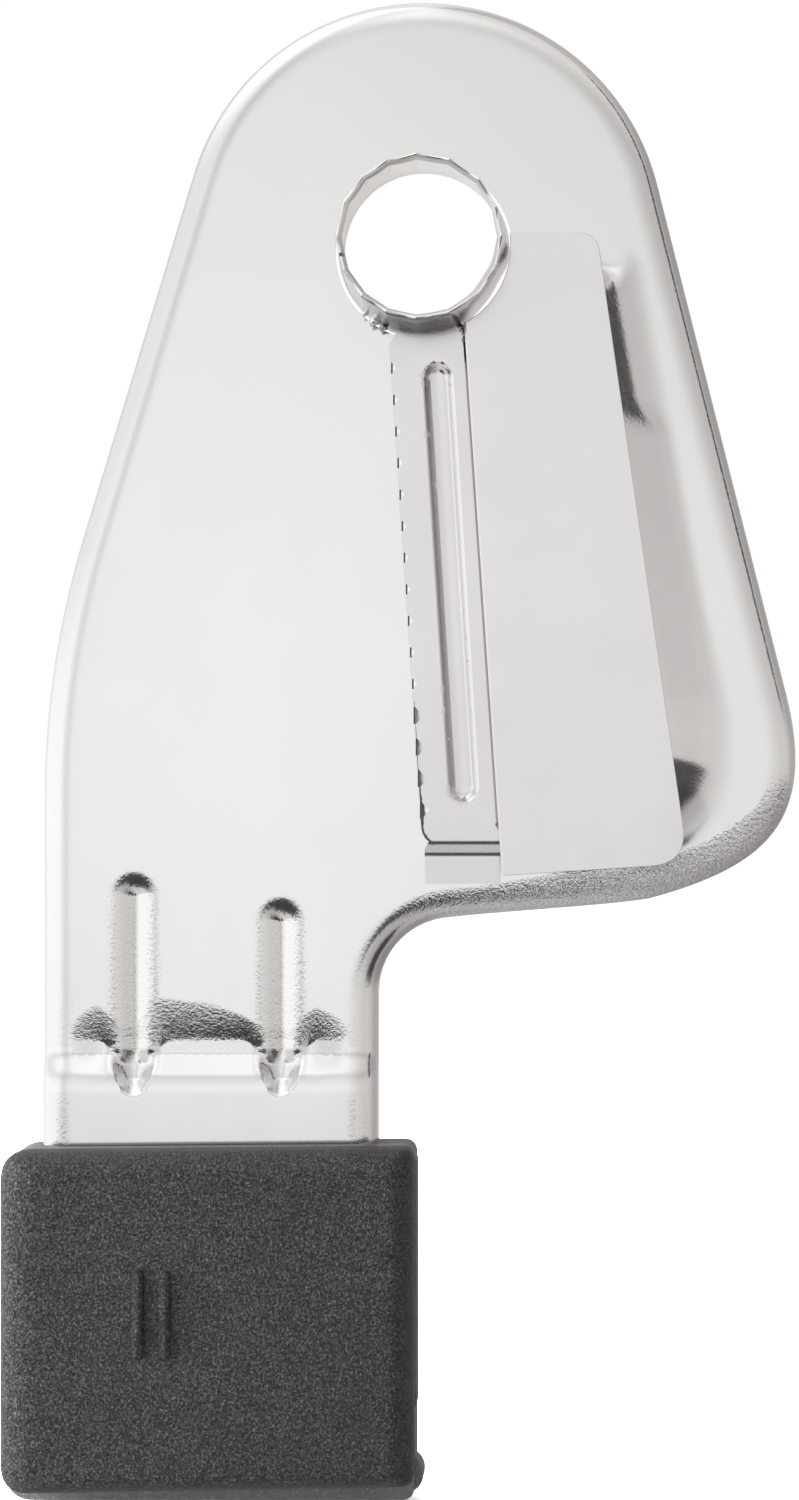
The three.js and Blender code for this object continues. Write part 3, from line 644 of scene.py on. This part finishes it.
def slicing_blade():
    """A flat blade: the left edge is ground to a bevel, and a bite clears the ring."""
    clear = RING_R_REAR + 0.15
    low = RING_Z - math.sqrt(clear**2 - (edge_x(104.8) - RING_X) ** 2)
    start = math.atan2(low - RING_Z, edge_x(low) - RING_X)
    finish = math.asin((EDGE_TOP[1] - RING_Z) / clear)
    edge = resample([(edge_x(56.1), 56.1), (edge_x(low), low)], 0.8) - (0.13, 0)
    bite = arc(RING_X, RING_Z, clear, start, finish, 26)[1:]
    per_corner = 14
    corners = [EDGE_BOTTOM + (0.2,), BLADE_LOW, BLADE_HIGH, EDGE_TOP + (0.2,)]
    spine = rounded_polygon(corners, per_corner)[per_corner:3 * per_corner]
    front_y, back_y = BLADE_BACK - BLADE_T, BLADE_BACK
    bottom = [(edge_x(55.95) + 0.25, 55.96)]
    outline = [tuple(p) for p in edge] + bite + list(reversed(spine)) + bottom
    p = np.array(outline)
    n = len(p)
    lean = np.array([EDGE_TOP[0] - EDGE_BOTTOM[0], EDGE_TOP[1] - EDGE_BOTTOM[1]])
    lean /= np.hypot(*lean)
    normal = np.array([lean[1], -lean[0]])
    tangent = np.roll(p, -1, axis=0) - np.roll(p, 1, axis=0)
    tangent /= np.hypot(*tangent.T)[:, None]
    inward = np.c_[tangent[:, 1], -tangent[:, 0]]
    is_edge = np.arange(n) < len(edge)
    small = 0.05
    ground = np.where(is_edge[:, None], normal * 0.2, inward * small)
    honed = np.where(is_edge[:, None], normal * 0.03, inward * 0.0)
    verts = np.vstack([at_depth(p + ground, front_y),
                       at_depth(p + honed, np.where(is_edge, front_y + 0.2, front_y + small)),
                       at_depth(p, np.where(is_edge, back_y - 0.05, back_y - small)),
                       at_depth(p + inward * 0.03, back_y)])
    order = list(range(n))
    polygons = [tuple(reversed(order)), tuple(3 * n + i for i in order)]
    for k in range(3):
        for a in order:
            b = (a + 1) % n
            polygons.append((a + k * n, b + k * n, b + (k + 1) * n, a + (k + 1) * n))
    make("slicing_blade_sheet", verts, polygons, BLADE_STEEL, sharp=25, replaces=["slicing_blade"],
         slot="blade_steel")


# ---------------------------------------------------------------- serrated strip
NOTCHES, NOTCH_FIRST, NOTCH_PITCH, LOW_NOTCHES = 15, 101.34, 2.83, 4
STRIP_TOP = (15.93, 104.3)
STRIP_FOOT = (18.89, 59.76)
BEAD_TOP, BEAD_FOOT = (20.4, 101.9), (22.7, 62.3)
BEAD_HALF, BEAD_DEPTH, BEAD_WALL = 1.42, 0.58, 0.72
STEP_TOP, STEP_LENGTH = 58.95, 1.35


def notch(i):
    """Height, depth from the edge, half height of the mouth and open cut of one notch."""
    z = NOTCH_FIRST - i * NOTCH_PITCH
    return (z, 0.88, 1.0, 0.12) if i >= NOTCHES - LOW_NOTCHES else (z, 0.52, 0.75, 0.16)


def strip_left(z):
    """Where the strip's left edge is at a height."""
    share = (STRIP_TOP[1] - z) / (STRIP_TOP[1] - STRIP_FOOT[1])
    return STRIP_TOP[0] + share * (STRIP_FOOT[0] - STRIP_TOP[0])


def strip_relief(points):
    """Y of the strip's front: a pressed bead, a step to the tab, an edge turned in under the blade."""
    x, z = points[:, 0], points[:, 1]
    y = STRIP_FRONT + (TAB_FRONT - STRIP_FRONT) * ease((STEP_TOP - z) / STEP_LENGTH)
    a, b = np.array(BEAD_TOP) - (0, BEAD_HALF), np.array(BEAD_FOOT) + (0, BEAD_HALF)
    d = distance(points, [a, b])
    y = y + BEAD_DEPTH * ease((BEAD_HALF - d) / BEAD_WALL) + 0.05 * np.clip(1 - (d / 0.7) ** 2, 0, 1)
    turned = np.clip((x - edge_x(z) + 0.36) / 0.3, 0, 1)
    return y + 0.6 * turned**1.5 * (z > 60.2)


def serrated_strip():
    left = [(strip_left(60.6), 60.6)]
    wedges, shade_bars = [], []
    for i in reversed(range(NOTCHES)):
        z, deep, half, cut = notch(i)
        mouth = [(strip_left(q), q) for q in (z - half, z + half)]
        left += [mouth[0], (strip_left(z) + deep, z), mouth[1]]
        h = half * (1 - cut / deep)
        x0, x1 = strip_left(z) + cut, strip_left(z) + deep
        top = STRIP_FRONT + (0.3 if i >= NOTCHES - LOW_NOTCHES else 0.4)
        rear = STRIP_FRONT + STRIP_T
        p = [(x1, STRIP_FRONT + 0.02, z), (x0, top, z + h), (x0, top, z - h),
             (x1, rear, z), (x0, rear, z + h), (x0, rear, z - h)]
        wedges.append((np.array(p), [(0, 1, 2), (5, 4, 3), (0, 3, 4, 1), (1, 4, 5, 2), (2, 5, 3, 0)], i))
        # painted shadow: a near-black bar at each notch's left, where the gap under the strip's edge
        # lies in shade
        shade_bars.append(slab([(x0 - 0.1, z - h * 0.92), (x0 + 0.05, z - h * 0.8), (x0 + 0.05, z + h * 0.8),
                           (x0 - 0.1, z + h * 0.92)], top - 0.06, rear, 0.02))
    left += [(strip_left(103.4), 103.4)]
    ring = arc(RING_X, RING_Z, BORE_RADIUS, math.radians(247), math.radians(303), 24)
    right_top = (edge_x(103.6) + 0.5, 103.6)
    ring = [p for p in ring if strip_left(p[1]) + 0.6 < p[0] < right_top[0] - 0.3]
    outline = [(19.6, 58.9), (19.2, 58.2), (19.2, 55.2), (19.35, 55.1), (25.8, 55.1), (25.95, 55.25),
               (25.95, 59.6), (edge_x(60.2) + 0.5, 60.2), right_top]
    points = densify(left + ring + list(reversed(outline)), 0.3)
    creases = [resample([(edge_x(60.6) + shift, 60.6), (edge_x(103.2) + shift, 103.2)], 0.3)
               for shift in (-0.36, -0.2, -0.06)]
    (xa, za), (xb, zb) = BEAD_TOP, BEAD_FOOT
    for third in range(4):
        reach = BEAD_HALF - BEAD_WALL * third / 3
        for side in (-1, 1):
            ends = [(xa + side * reach, za - BEAD_HALF), (xb + side * reach, zb + BEAD_HALF)]
            creases.append(resample(ends, 0.25))
    grids = [(18.5, 26.2, 60, 103, 0.26), (15.5, 28, 56.8, 61, 0.16), (15, 28, 55, 105, 0.3)]
    flat, faces, _ = triangulate(points, [], creases, grids)
    y = strip_relief(flat)
    faces = [tuple(f) for f in faces]
    verts, polygons = shell(at_depth(flat, y), at_depth(flat, y + STRIP_T), faces)
    make("serrated_strip_sheet", verts, polygons, STRIP_STEEL, sharp=24, replaces=["serrated_strip"],
         slot="blade_steel")
    # painted shade on three of the lower facets through the darker copy; painted highlight on the rest
    # through the lighter copy
    low = [w[:2] for w in wedges if NOTCHES - LOW_NOTCHES <= w[2] < NOTCHES - 1]
    high = [w[:2] for w in wedges if not NOTCHES - LOW_NOTCHES <= w[2] < NOTCHES - 1]
    make("serration_facets", *merge(*high), LIT_FACET_STEEL, sharp=20, slot="blade_steel")
    make("serration_facets_low", *merge(*low), SHADED_FACET_STEEL, sharp=20, slot="blade_steel")
    # painted shadow: a near-black bar along the strip's foot, where the gap under its edge lies in
    # shade: x, z, width
    trace = [(18.27, 71.5, 0.05), (18.5, 67, 0.07), (18.66, 64.4, 0.1), (18.8, 62.4, 0.22),
             (18.82, 61.2, 0.3), (18.9, 60.2, 0.24), (18.98, 59.7, 0.22), (19.25, 59.2, 0.3),
             (19.62, 58.85, 0.28), (19.85, 58.6, 0.1)]
    spine = resample([t[:2] for t in trace], 0.18)
    widths = np.interp(-spine[:, 1], [-t[1] for t in trace], [t[2] for t in trace])
    widths = widths * RNG.uniform(0.75, 1.2, len(spine))
    outer = spine + (0.02, 0)
    inner = [(x + w, z + 0.15 * w) for (x, z), w in zip(spine, widths)]
    shade_line = [tuple(q) for q in outer] + list(reversed(inner))
    shade_bars.append(slab(shade_line, STRIP_FRONT - 0.03, STRIP_FRONT + 0.2))
    make("serration_painted_shade", *merge(*shade_bars), SHADE_STEEL, sharp=30, slot="blade_steel")


def densify(points, step):
    out = []
    for a, b in zip(points, points[1:] + points[:1]):
        a, b = np.array(a, float), np.array(b, float)
        n = max(1, int(np.ceil(np.hypot(*(b - a)) / step)))
        out += [tuple(a + (b - a) * k / n) for k in range(n)]
    return out


# ---------------------------------------------------------------- core ring
def core_ring():
    """A rolled tube: a scalloped rim ground inside, an open butt seam and tack welds at its foot."""
    count, sides = 352, 16
    half_gap = 0.17 / RING_R_FRONT
    along = np.linspace(half_gap, 2 * math.pi - half_gap, count)
    profile = []  # (radius, y, share of the scallops, share of the facets)
    profile += [(RING_R_REAR, RING_REAR, 0, 0), (RING_R_REAR, PLATE_FRONT, 0, 0)]
    profile += [(RING_R_REAR - TAPER * t, PLATE_FRONT + (RING_FRONT + 0.25 - PLATE_FRONT) * t, t**3, t)
                for t in np.linspace(0.1, 1, 12)]
    rim = ((0.04, 0.05), (0.14, 0), (0.22, 0.03), (RING_WALL, 0.62))
    profile += [(RING_R_FRONT - inset, RING_FRONT + back, 1, 1) for inset, back in rim]
    profile += [(RING_R_REAR - RING_WALL - TAPER * t, PLATE_FRONT + (RING_FRONT + 0.8 - PLATE_FRONT) * t,
                 t**3, t) for t in np.linspace(0.98, 0, 10)]
    profile += [(RING_R_REAR - RING_WALL, RING_REAR, 0, 0)]
    rows = []
    for r, y, share, cut in profile:
        angles = math.radians(np.interp(y, [RING_FRONT, RING_REAR], [193, 214])) + along
        wobble = sum(0.045 / k * np.sin(k * angles + p) for k, p in ((2, 0.4), (3, 1.9), (5, 4.0)))
        corner = math.pi / sides
        q = ((angles / (2 * math.pi) * sides + 0.1 * np.sin(3 * angles)) % 1) * 2 - 1
        flat = math.cos(corner) / np.cos(q * corner) - 1
        behind = np.exp(-((((np.degrees(angles) % 360) - 326) / 24) ** 4))
        drawn_in = 0.6 * behind * np.clip((y - RING_FRONT - 0.4) / 3, 0, 1)
        radius = r * (1 + flat * cut) + wobble * 0.5 - drawn_in
        depth_y = np.minimum(y + 0.34 * (1 - q**2) * share, RING_REAR)
        rows.append(np.c_[RING_X + radius * np.cos(angles), depth_y, RING_Z + radius * np.sin(angles)])
    verts = np.vstack(rows)
    k = len(profile)
    polygons = []
    for j in range(k):
        a, b = j * count, ((j + 1) % k) * count
        for i in range(count - 1):
            polygons.append((a + i, b + i, b + i + 1, a + i + 1))
    polygons.append(tuple(j * count for j in reversed(range(k))))
    polygons.append(tuple(j * count + count - 1 for j in range(k)))
    parts = [(verts, polygons)]
    for degrees, size, out in ((236, 0.55, 0.12), (243, 0.4, 0.2), (228, 0.35, 0.1), (296, 0.42, 0.15)):
        parts.append(weld_bead(math.radians(degrees), size, out))
    verts, polygons = merge(*parts)
    o = make("core_ring_tube", verts, polygons, RING_STEEL, sharp=30, replaces=["core_ring"],
             slot="ring_steel")
    # painted shade: marks the foot of the ring's outer wall, at its bottom, for darkening
    angle = np.arctan2(verts[:, 2] - RING_Z, verts[:, 0] - RING_X)
    radius = np.hypot(verts[:, 2] - RING_Z, verts[:, 0] - RING_X)
    near = ease((math.radians(38) - np.abs(angle + math.radians(88))) / math.radians(14))
    low = ease((verts[:, 1] + 8.2) / 2.5)
    mark(o, "tint", near * low * (radius > 7.05) * 0.95)


def weld_bead(angle, size, out):
    """A small lump of weld at the foot of the ring."""
    n, m = 14, 8
    r = RING_R_REAR + out
    cx, cz = RING_X + r * math.cos(angle), RING_Z + r * math.sin(angle)
    cy = STRIP_FRONT - 0.05
    verts = []
    for j in range(1, m):
        lat = math.pi * j / m
        for i in range(n):
            lon = 2 * math.pi * i / n
            lumps = 1 + 0.18 * math.sin(3 * lon + 5 * angle) + 0.1 * math.sin(5 * lon + lat * 3)
            s = size * math.sin(lat) * lumps
            x, z = cx + s * math.cos(lon), cz + s * math.sin(lon) * 0.8
            verts.append((x, cy - size * 0.7 * math.cos(lat), z))
    polygons = [(j * n + i, j * n + (i + 1) % n, (j + 1) * n + (i + 1) % n, (j + 1) * n + i)
                for j in range(m - 2) for i in range(n)]
    front, rear = len(verts), len(verts) + 1
    verts += [(cx, cy - size * 0.7, cz), (cx, cy + size * 0.7, cz)]
    last = (m - 2) * n
    for i in range(n):
        polygons += [(front, (i + 1) % n, i), (rear, last + i, last + (i + 1) % n)]
    return np.array(verts), polygons


# ---------------------------------------------------------------- grip
def quad_outline(left, right, top_left, top_right, bottom_left, bottom_right, corner_left, corner_right):
    return rounded_polygon([(left, bottom_left, corner_left), (right, bottom_right, corner_right),
                            (right, top_right, corner_right), (left, top_left, corner_left)], 12)


def moulding(corners, radii, y_face, y_seam, direction):
    """Rings of a rounded cover. corners: left, right, top pair, bottom pair and the corners' two radii;
    radii: how far the edge rounding reaches in from left, right, top and bottom, and back."""
    left, right, tl, tr, bl, br, cl, cr = corners
    r_left, r_right, r_top, r_bottom, deep = radii
    rings = []
    steps = 10
    for k in range(steps + 1):
        a = math.pi / 2 * k / steps
        pull = 1 - math.sin(a)
        y = y_face + direction * deep * (1 - math.cos(a))
        grow = [r_left * pull, r_right * pull, r_top * pull, r_bottom * pull]
        c_l = max(cl - 0.35 * grow[0], 0.5)
        c_r = max(cr - 0.2 * grow[1], 0.5)
        outline = quad_outline(left + grow[0], right - grow[1], tl - grow[2], tr - grow[2],
                               bl + grow[3], br + grow[3], c_l, c_r)
        rings.append((outline, y))
    rings.append((rings[-1][0], y_seam - direction * 0.15))
    def inset(by, *radii_in):
        return quad_outline(left + by, right - by, tl - by, tr - by, bl + by, br + by, *radii_in)

    rings.append((inset(0.12, cl, cr), y_seam))
    wall = GRIP_WALL
    inner = inset(wall, max(cl - 1, 0.6), 0.6)
    rings.append((inner, y_seam))
    rings.append((inner, y_face + direction * wall))
    return rings


def loft(rings, holes=(), direction=1, depth=1.0):
    """Skins a stack of matching rings and closes both ends; holes are round, through the first face."""
    n = len(rings[0][0])
    verts = np.vstack([at_depth(p, y) for p, y in rings])
    polygons = []
    for k in range(len(rings) - 1):
        for i in range(n):
            j = (i + 1) % n
            polygons.append((k * n + i, (k + 1) * n + i, (k + 1) * n + j, k * n + j))
    last = (len(rings) - 1) * n
    polygons.append(tuple(last + i for i in reversed(range(n))))
    if not holes:
        polygons.append(tuple(range(n)))
        parts = [(verts, polygons)]
    else:
        outline, y = rings[0]
        circles = [arc(x, z, r, 0, 2 * math.pi, 41)[:-1] for x, z, r in holes]
        flat, faces, _ = triangulate(outline, circles, [], [(-20, 20, -2, 34, 2.5)])
        parts = [(verts, polygons), (at_depth(flat, y), [tuple(f) for f in faces])]
        for circle in circles:
            c = np.array(circle)
            m = len(c)
            mid = c.mean(axis=0)
            core = mid + (c - mid) * 0.45
            floor_y, end_y = y + direction * depth, y + direction * (depth + 4)
            tube = np.vstack([at_depth(c, y), at_depth(c, floor_y), at_depth(core, floor_y),
                              at_depth(core, end_y)])
            quads = [(k * m + i, k * m + (i + 1) % m, (k + 1) * m + (i + 1) % m, (k + 1) * m + i)
                     for k in range(3) for i in range(m)]
            quads.append(tuple(3 * m + i for i in range(m)))
            parts.append((tube, quads))
    return merge(*parts)


MERGE_AT = 0.004  # vertices nearer than this, mm, become one


def consistent(o):
    """Welds a cover's parts where they meet and turns all faces outwards."""
    bm = bmesh.new()
    bm.from_mesh(o.data)
    bmesh.ops.remove_doubles(bm, verts=bm.verts, dist=MERGE_AT * MM)
    bmesh.ops.recalc_face_normals(bm, faces=bm.faces)
    bm.to_mesh(o.data)
    bm.free()
    o.data.shade_smooth()
    o.data.set_sharp_from_angle(angle=math.radians(38))


def tally_bar(x):
    """One raised bar with a domed section and round ends."""
    half, height, z0, z1 = 0.52, 0.5, 13.5, 21.4
    rings = []
    for k in range(7):
        a = math.pi / 2 * k / 6
        s = half * math.cos(a) if k < 6 else 0.04
        outline = arc(x, z1 - half, s, 0, math.pi, 12) + arc(x, z0 + half, s, math.pi, 2 * math.pi, 12)
        rings.append((outline, GRIP_FRONT - height * math.sin(a)))
    rings.insert(0, (rings[0][0], GRIP_FRONT + 0.3))
    return loft(rings)


def grip_front():
    corners = (-18.35, 18.4, 31.45, 31.8, 1.1, 1.7, 2.5, 1.3)
    rings = moulding(corners, (3.6, 2.3, 1.9, 1.9, 3.0), GRIP_FRONT, GRIP_SEAM, 1)
    verts, polygons = merge(loft(rings), *[tally_bar(x) for x in BAR_XS])
    o = make("grip_front_cover", verts, polygons, GRIP_PLASTIC, replaces=["grip_front_shell"],
             slot="grip_plastic")
    consistent(o)


def grip_back():
    corners = (-18.2, 18.35, 31.4, 31.7, 0, 0, 2.5, 1.3)
    rings = moulding(corners, (1.8, 1.8, 1.8, 1.8, 2.2), GRIP_BACK, GRIP_SEAM + 0.04, -1)
    body = loft(rings, holes=[(x, SCREW_Z, 2.8) for x in SCREW_XS], direction=-1, depth=2.3)
    lug_x, lug_z, lug_r, half_turn = 18.35 - 1.8 + 0.75, 2.1, 1.8, math.pi * 0.62
    lug = arc(lug_x, lug_z, lug_r, -half_turn, half_turn, 28) + [(lug_x - 1, 3.4), (lug_x - 1, 0.4)]
    side = slab(lug, -0.1, 3, 0.15)
    foot = slab([(-16.2, 0.6), (-14.6, -0.63), (-13.5, -0.9), (-12.9, -0.2), (-12.9, 0.6)], -0.1, 3, 0.1)
    strip = [(17.6, 8.2), (18.42, 8.2), (18.55, 8.6), (18.55, 30.2), (18.3, 30.8), (17.6, 30.8)]
    rail = slab(strip, -0.9, 2.2, 0.06)
    verts, polygons = merge(body, side, foot, rail)
    o = make("grip_back_cover", verts, polygons, BACK_PLASTIC, replaces=["grip_back_shell"],
             slot="back_plastic")
    consistent(o)


base_plate()
slicing_blade()
serrated_strip()
core_ring()
grip_front()
grip_back()
for side in ("left", "right"):
    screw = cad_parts[f"grip_screw_{side}"]
    screw.data.materials.clear()
    screw.data.materials.append(SCREW_STEEL)
    bevel = screw.modifiers.new("edge", "BEVEL")
    bevel.width, bevel.segments, bevel.limit_method = 0.1 * MM, 2, "ANGLE"


# ---------------------------------------------------------------- floor, light and camera
def panel(name, centre, size, facing, material):
    """A flat studio panel."""
    o = bpy.data.objects.new(name, bpy.data.meshes.new(name))
    w, h = size[0] / 2, size[1] / 2
    o.data.from_pydata([(-w, -h, 0), (w, -h, 0), (w, h, 0), (-w, h, 0)], [], [(0, 1, 2, 3)])
    o.data.materials.append(material)
    o.location = Vector(centre) * MM
    o.scale = (MM, MM, MM)
    o.rotation_mode = "QUATERNION"
    o.rotation_quaternion = Vector(facing).to_track_quat("Z", "Y")
    bpy.context.scene.collection.objects.link(o)
    return o


def floor():
    m = bpy.data.materials.new("pale_floor")
    m.use_nodes = True
    t = m.node_tree
    bsdf = t.nodes["Principled BSDF"]
    bsdf.inputs["Base Color"].default_value = (0.9, 0.9, 0.9, 1)
    bsdf.inputs["Roughness"].default_value = 0.9
    bsdf.inputs["Specular IOR Level"].default_value = 0.1
    bsdf.inputs["Emission Color"].default_value = (1, 1, 1, 1)
    bsdf.inputs["Emission Strength"].default_value = 0.22
    o = panel("floor", (0, 0, -0.92), (9000, 9000), (0, 0, 1), m)
    o.visible_glossy = False


def area_light(name, centre, target, size, radiance):
    data = bpy.data.lights.new(name, "AREA")
    data.shape = "RECTANGLE"
    data.size, data.size_y = size[0] * MM, size[1] * MM
    data.energy = radiance * math.pi * data.size * data.size_y
    o = bpy.data.objects.new(name, data)
    o.location = Vector(centre) * MM
    o.rotation_mode = "QUATERNION"
    o.rotation_quaternion = (Vector(centre) - Vector(target)).to_track_quat("Z", "Y")
    o.visible_camera = False
    o.visible_glossy = False
    bpy.context.scene.collection.objects.link(o)


def smooth_mask(t, value, low, high):
    n = node(t, "ShaderNodeMapRange", _interpolation_type="SMOOTHSTEP")
    t.links.new(value, n.inputs["Value"])
    n.inputs["From Min"].default_value, n.inputs["From Max"].default_value = low, high
    return n.outputs["Result"]


def window_mask(t, value, low, high, soft):
    rise = smooth_mask(t, value, low - soft, low + soft)
    fall = math_node(t, "SUBTRACT", 1.0, smooth_mask(t, value, high - soft, high + soft))
    return math_node(t, "MULTIPLY", rise, fall)


def tent_material():
    """What polished steel sees: a white tent whose brightness changes with direction, in degrees."""
    m = bpy.data.materials.new("tent")
    m.use_nodes = True
    t = m.node_tree
    t.nodes.remove(t.nodes["Principled BSDF"])
    place = node(t, "ShaderNodeTexCoord")
    unit = node(t, "ShaderNodeVectorMath", _operation="NORMALIZE")
    t.links.new(place.outputs["Object"], unit.inputs[0])
    axes = node(t, "ShaderNodeSeparateXYZ")
    t.links.new(unit.outputs["Vector"], axes.inputs[0])
    degrees = 180 / math.pi
    forward = math_node(t, "MULTIPLY", axes.outputs["Y"], -1.0)
    round_ = math_node(t, "MULTIPLY", math_node(t, "ARCTAN2", axes.outputs["X"], forward), degrees)
    up = math_node(t, "MULTIPLY", math_node(t, "ARCSINE", axes.outputs["Z"]), degrees)
    around = ramp(t, math_node(t, "MULTIPLY_ADD", round_, 1 / 360, 0.5),
                  [((d + 180) / 360, (v * FIT,)) for d, v in ROUND])
    above = ramp(t, math_node(t, "MULTIPLY_ADD", up, 1 / 180, 0.5),
                 [((d + 90) / 180, (v * FIT,)) for d, v in UP])
    level = math_node(t, "DIVIDE", math_node(t, "MULTIPLY", around, above), FIT * FIT)
    for (a, b), (c, d), soft, depth in DARK_WINDOWS:
        across = window_mask(t, round_, a, b, soft)
        upright = window_mask(t, up, c, d, soft * 0.6)
        mask = math_node(t, "MULTIPLY", across, upright)
        left_over = math_node(t, "SUBTRACT", 1.0, math_node(t, "MULTIPLY", mask, depth))
        level = math_node(t, "MULTIPLY", level, left_over)
    glow = node(t, "ShaderNodeEmission")
    level = math_node(t, "MULTIPLY", level, TENT_LEVEL)
    warm = mix(t, (1, 1, 1), (1, 0.958, 0.945), smooth_mask(t, round_, 8, 34))
    t.links.new(level, glow.inputs["Strength"])
    t.links.new(warm, glow.inputs["Color"])
    t.links.new(glow.outputs[0], t.nodes["Material Output"].inputs["Surface"])
    return m


# brightness of the tent round the object (0 is towards the front, positive to the right) and by height
ROUND = [(-180, 0.8), (-150, 0.76), (-125, 1.0), (-105, 1.12), (-34, 1.1), (-25, 0.9), (-18, 0.79),
         (-11, 0.96), (-7, 1.0), (-4.5, 1.0), (-2, 0.95), (0, 0.925), (3, 0.88), (8, 0.83), (20, 0.76),
         (38, 0.7), (60, 0.7), (80, 0.6), (95, 0.48), (125, 0.46), (160, 0.5), (180, 0.8)]
UP = [(-90, 0.7), (-50, 0.66), (-36, 0.6), (-20, 0.64), (-13, 0.75), (-9.5, 0.95), (-5, 0.98),
      (0, 1.0), (5, 0.97), (10, 0.91), (16, 0.82), (25, 0.78), (36, 0.95), (48, 1.13), (90, 1.13)]
# darker parts: degrees round, degrees up, softness, depth
DARK_WINDOWS = [((67, 76), (11.5, 52), 1.4, 0.93), ((40, 70), (-46, -12), 5.0, 0.85),
                ((-42, 13), (-50, -9.6), 1.4, 0.9)]
TENT_LEVEL = 1.1
FIT = 0.8  # keeps the values of both ramps below one, and is divided out again
TENT_RADIUS = 3000


def tent():
    mesh = bpy.data.meshes.new("tent")
    bm = bmesh.new()
    bmesh.ops.create_uvsphere(bm, u_segments=64, v_segments=32, radius=TENT_RADIUS * MM)
    bm.to_mesh(mesh)
    bm.free()
    mesh.materials.append(tent_material())
    o = bpy.data.objects.new("tent", mesh)
    o.location = (0.01, 0, 0.07)
    bpy.context.scene.collection.objects.link(o)
    for ray in ("camera", "diffuse", "transmission", "shadow"):
        setattr(o, f"visible_{ray}", False)


def studio():
    world = bpy.data.worlds.new("studio")
    bpy.context.scene.world = world
    world.use_nodes = True
    world.node_tree.nodes["Background"].inputs["Color"].default_value = (1, 1, 1, 1)
    world.node_tree.nodes["Background"].inputs["Strength"].default_value = 1.0
    floor()
    tent()
    area_light("soft_left", (-350, -40, 100), (0, 0, 50), (340, 280), 72.0)
    area_light("soft_top", (0, -60, 420), (0, 0, 60), (420, 360), 2.2)


def camera():
    data = bpy.data.cameras.new("camera")
    data.sensor_width = 36
    data.lens = 80
    data.shift_x, data.shift_y = -0.119, -0.016
    data.clip_start, data.clip_end = 0.01, 20
    o = bpy.data.objects.new("camera", data)
    o.location = Vector((32.96, -299.4, 69.26)) * MM
    o.rotation_euler = (math.pi / 2, 0, 0)
    bpy.context.scene.collection.objects.link(o)
    bpy.context.scene.camera = o


studio()
camera()
view = bpy.context.scene.view_settings
view.view_transform = "Standard"
view.look = "None"
view.exposure = 0
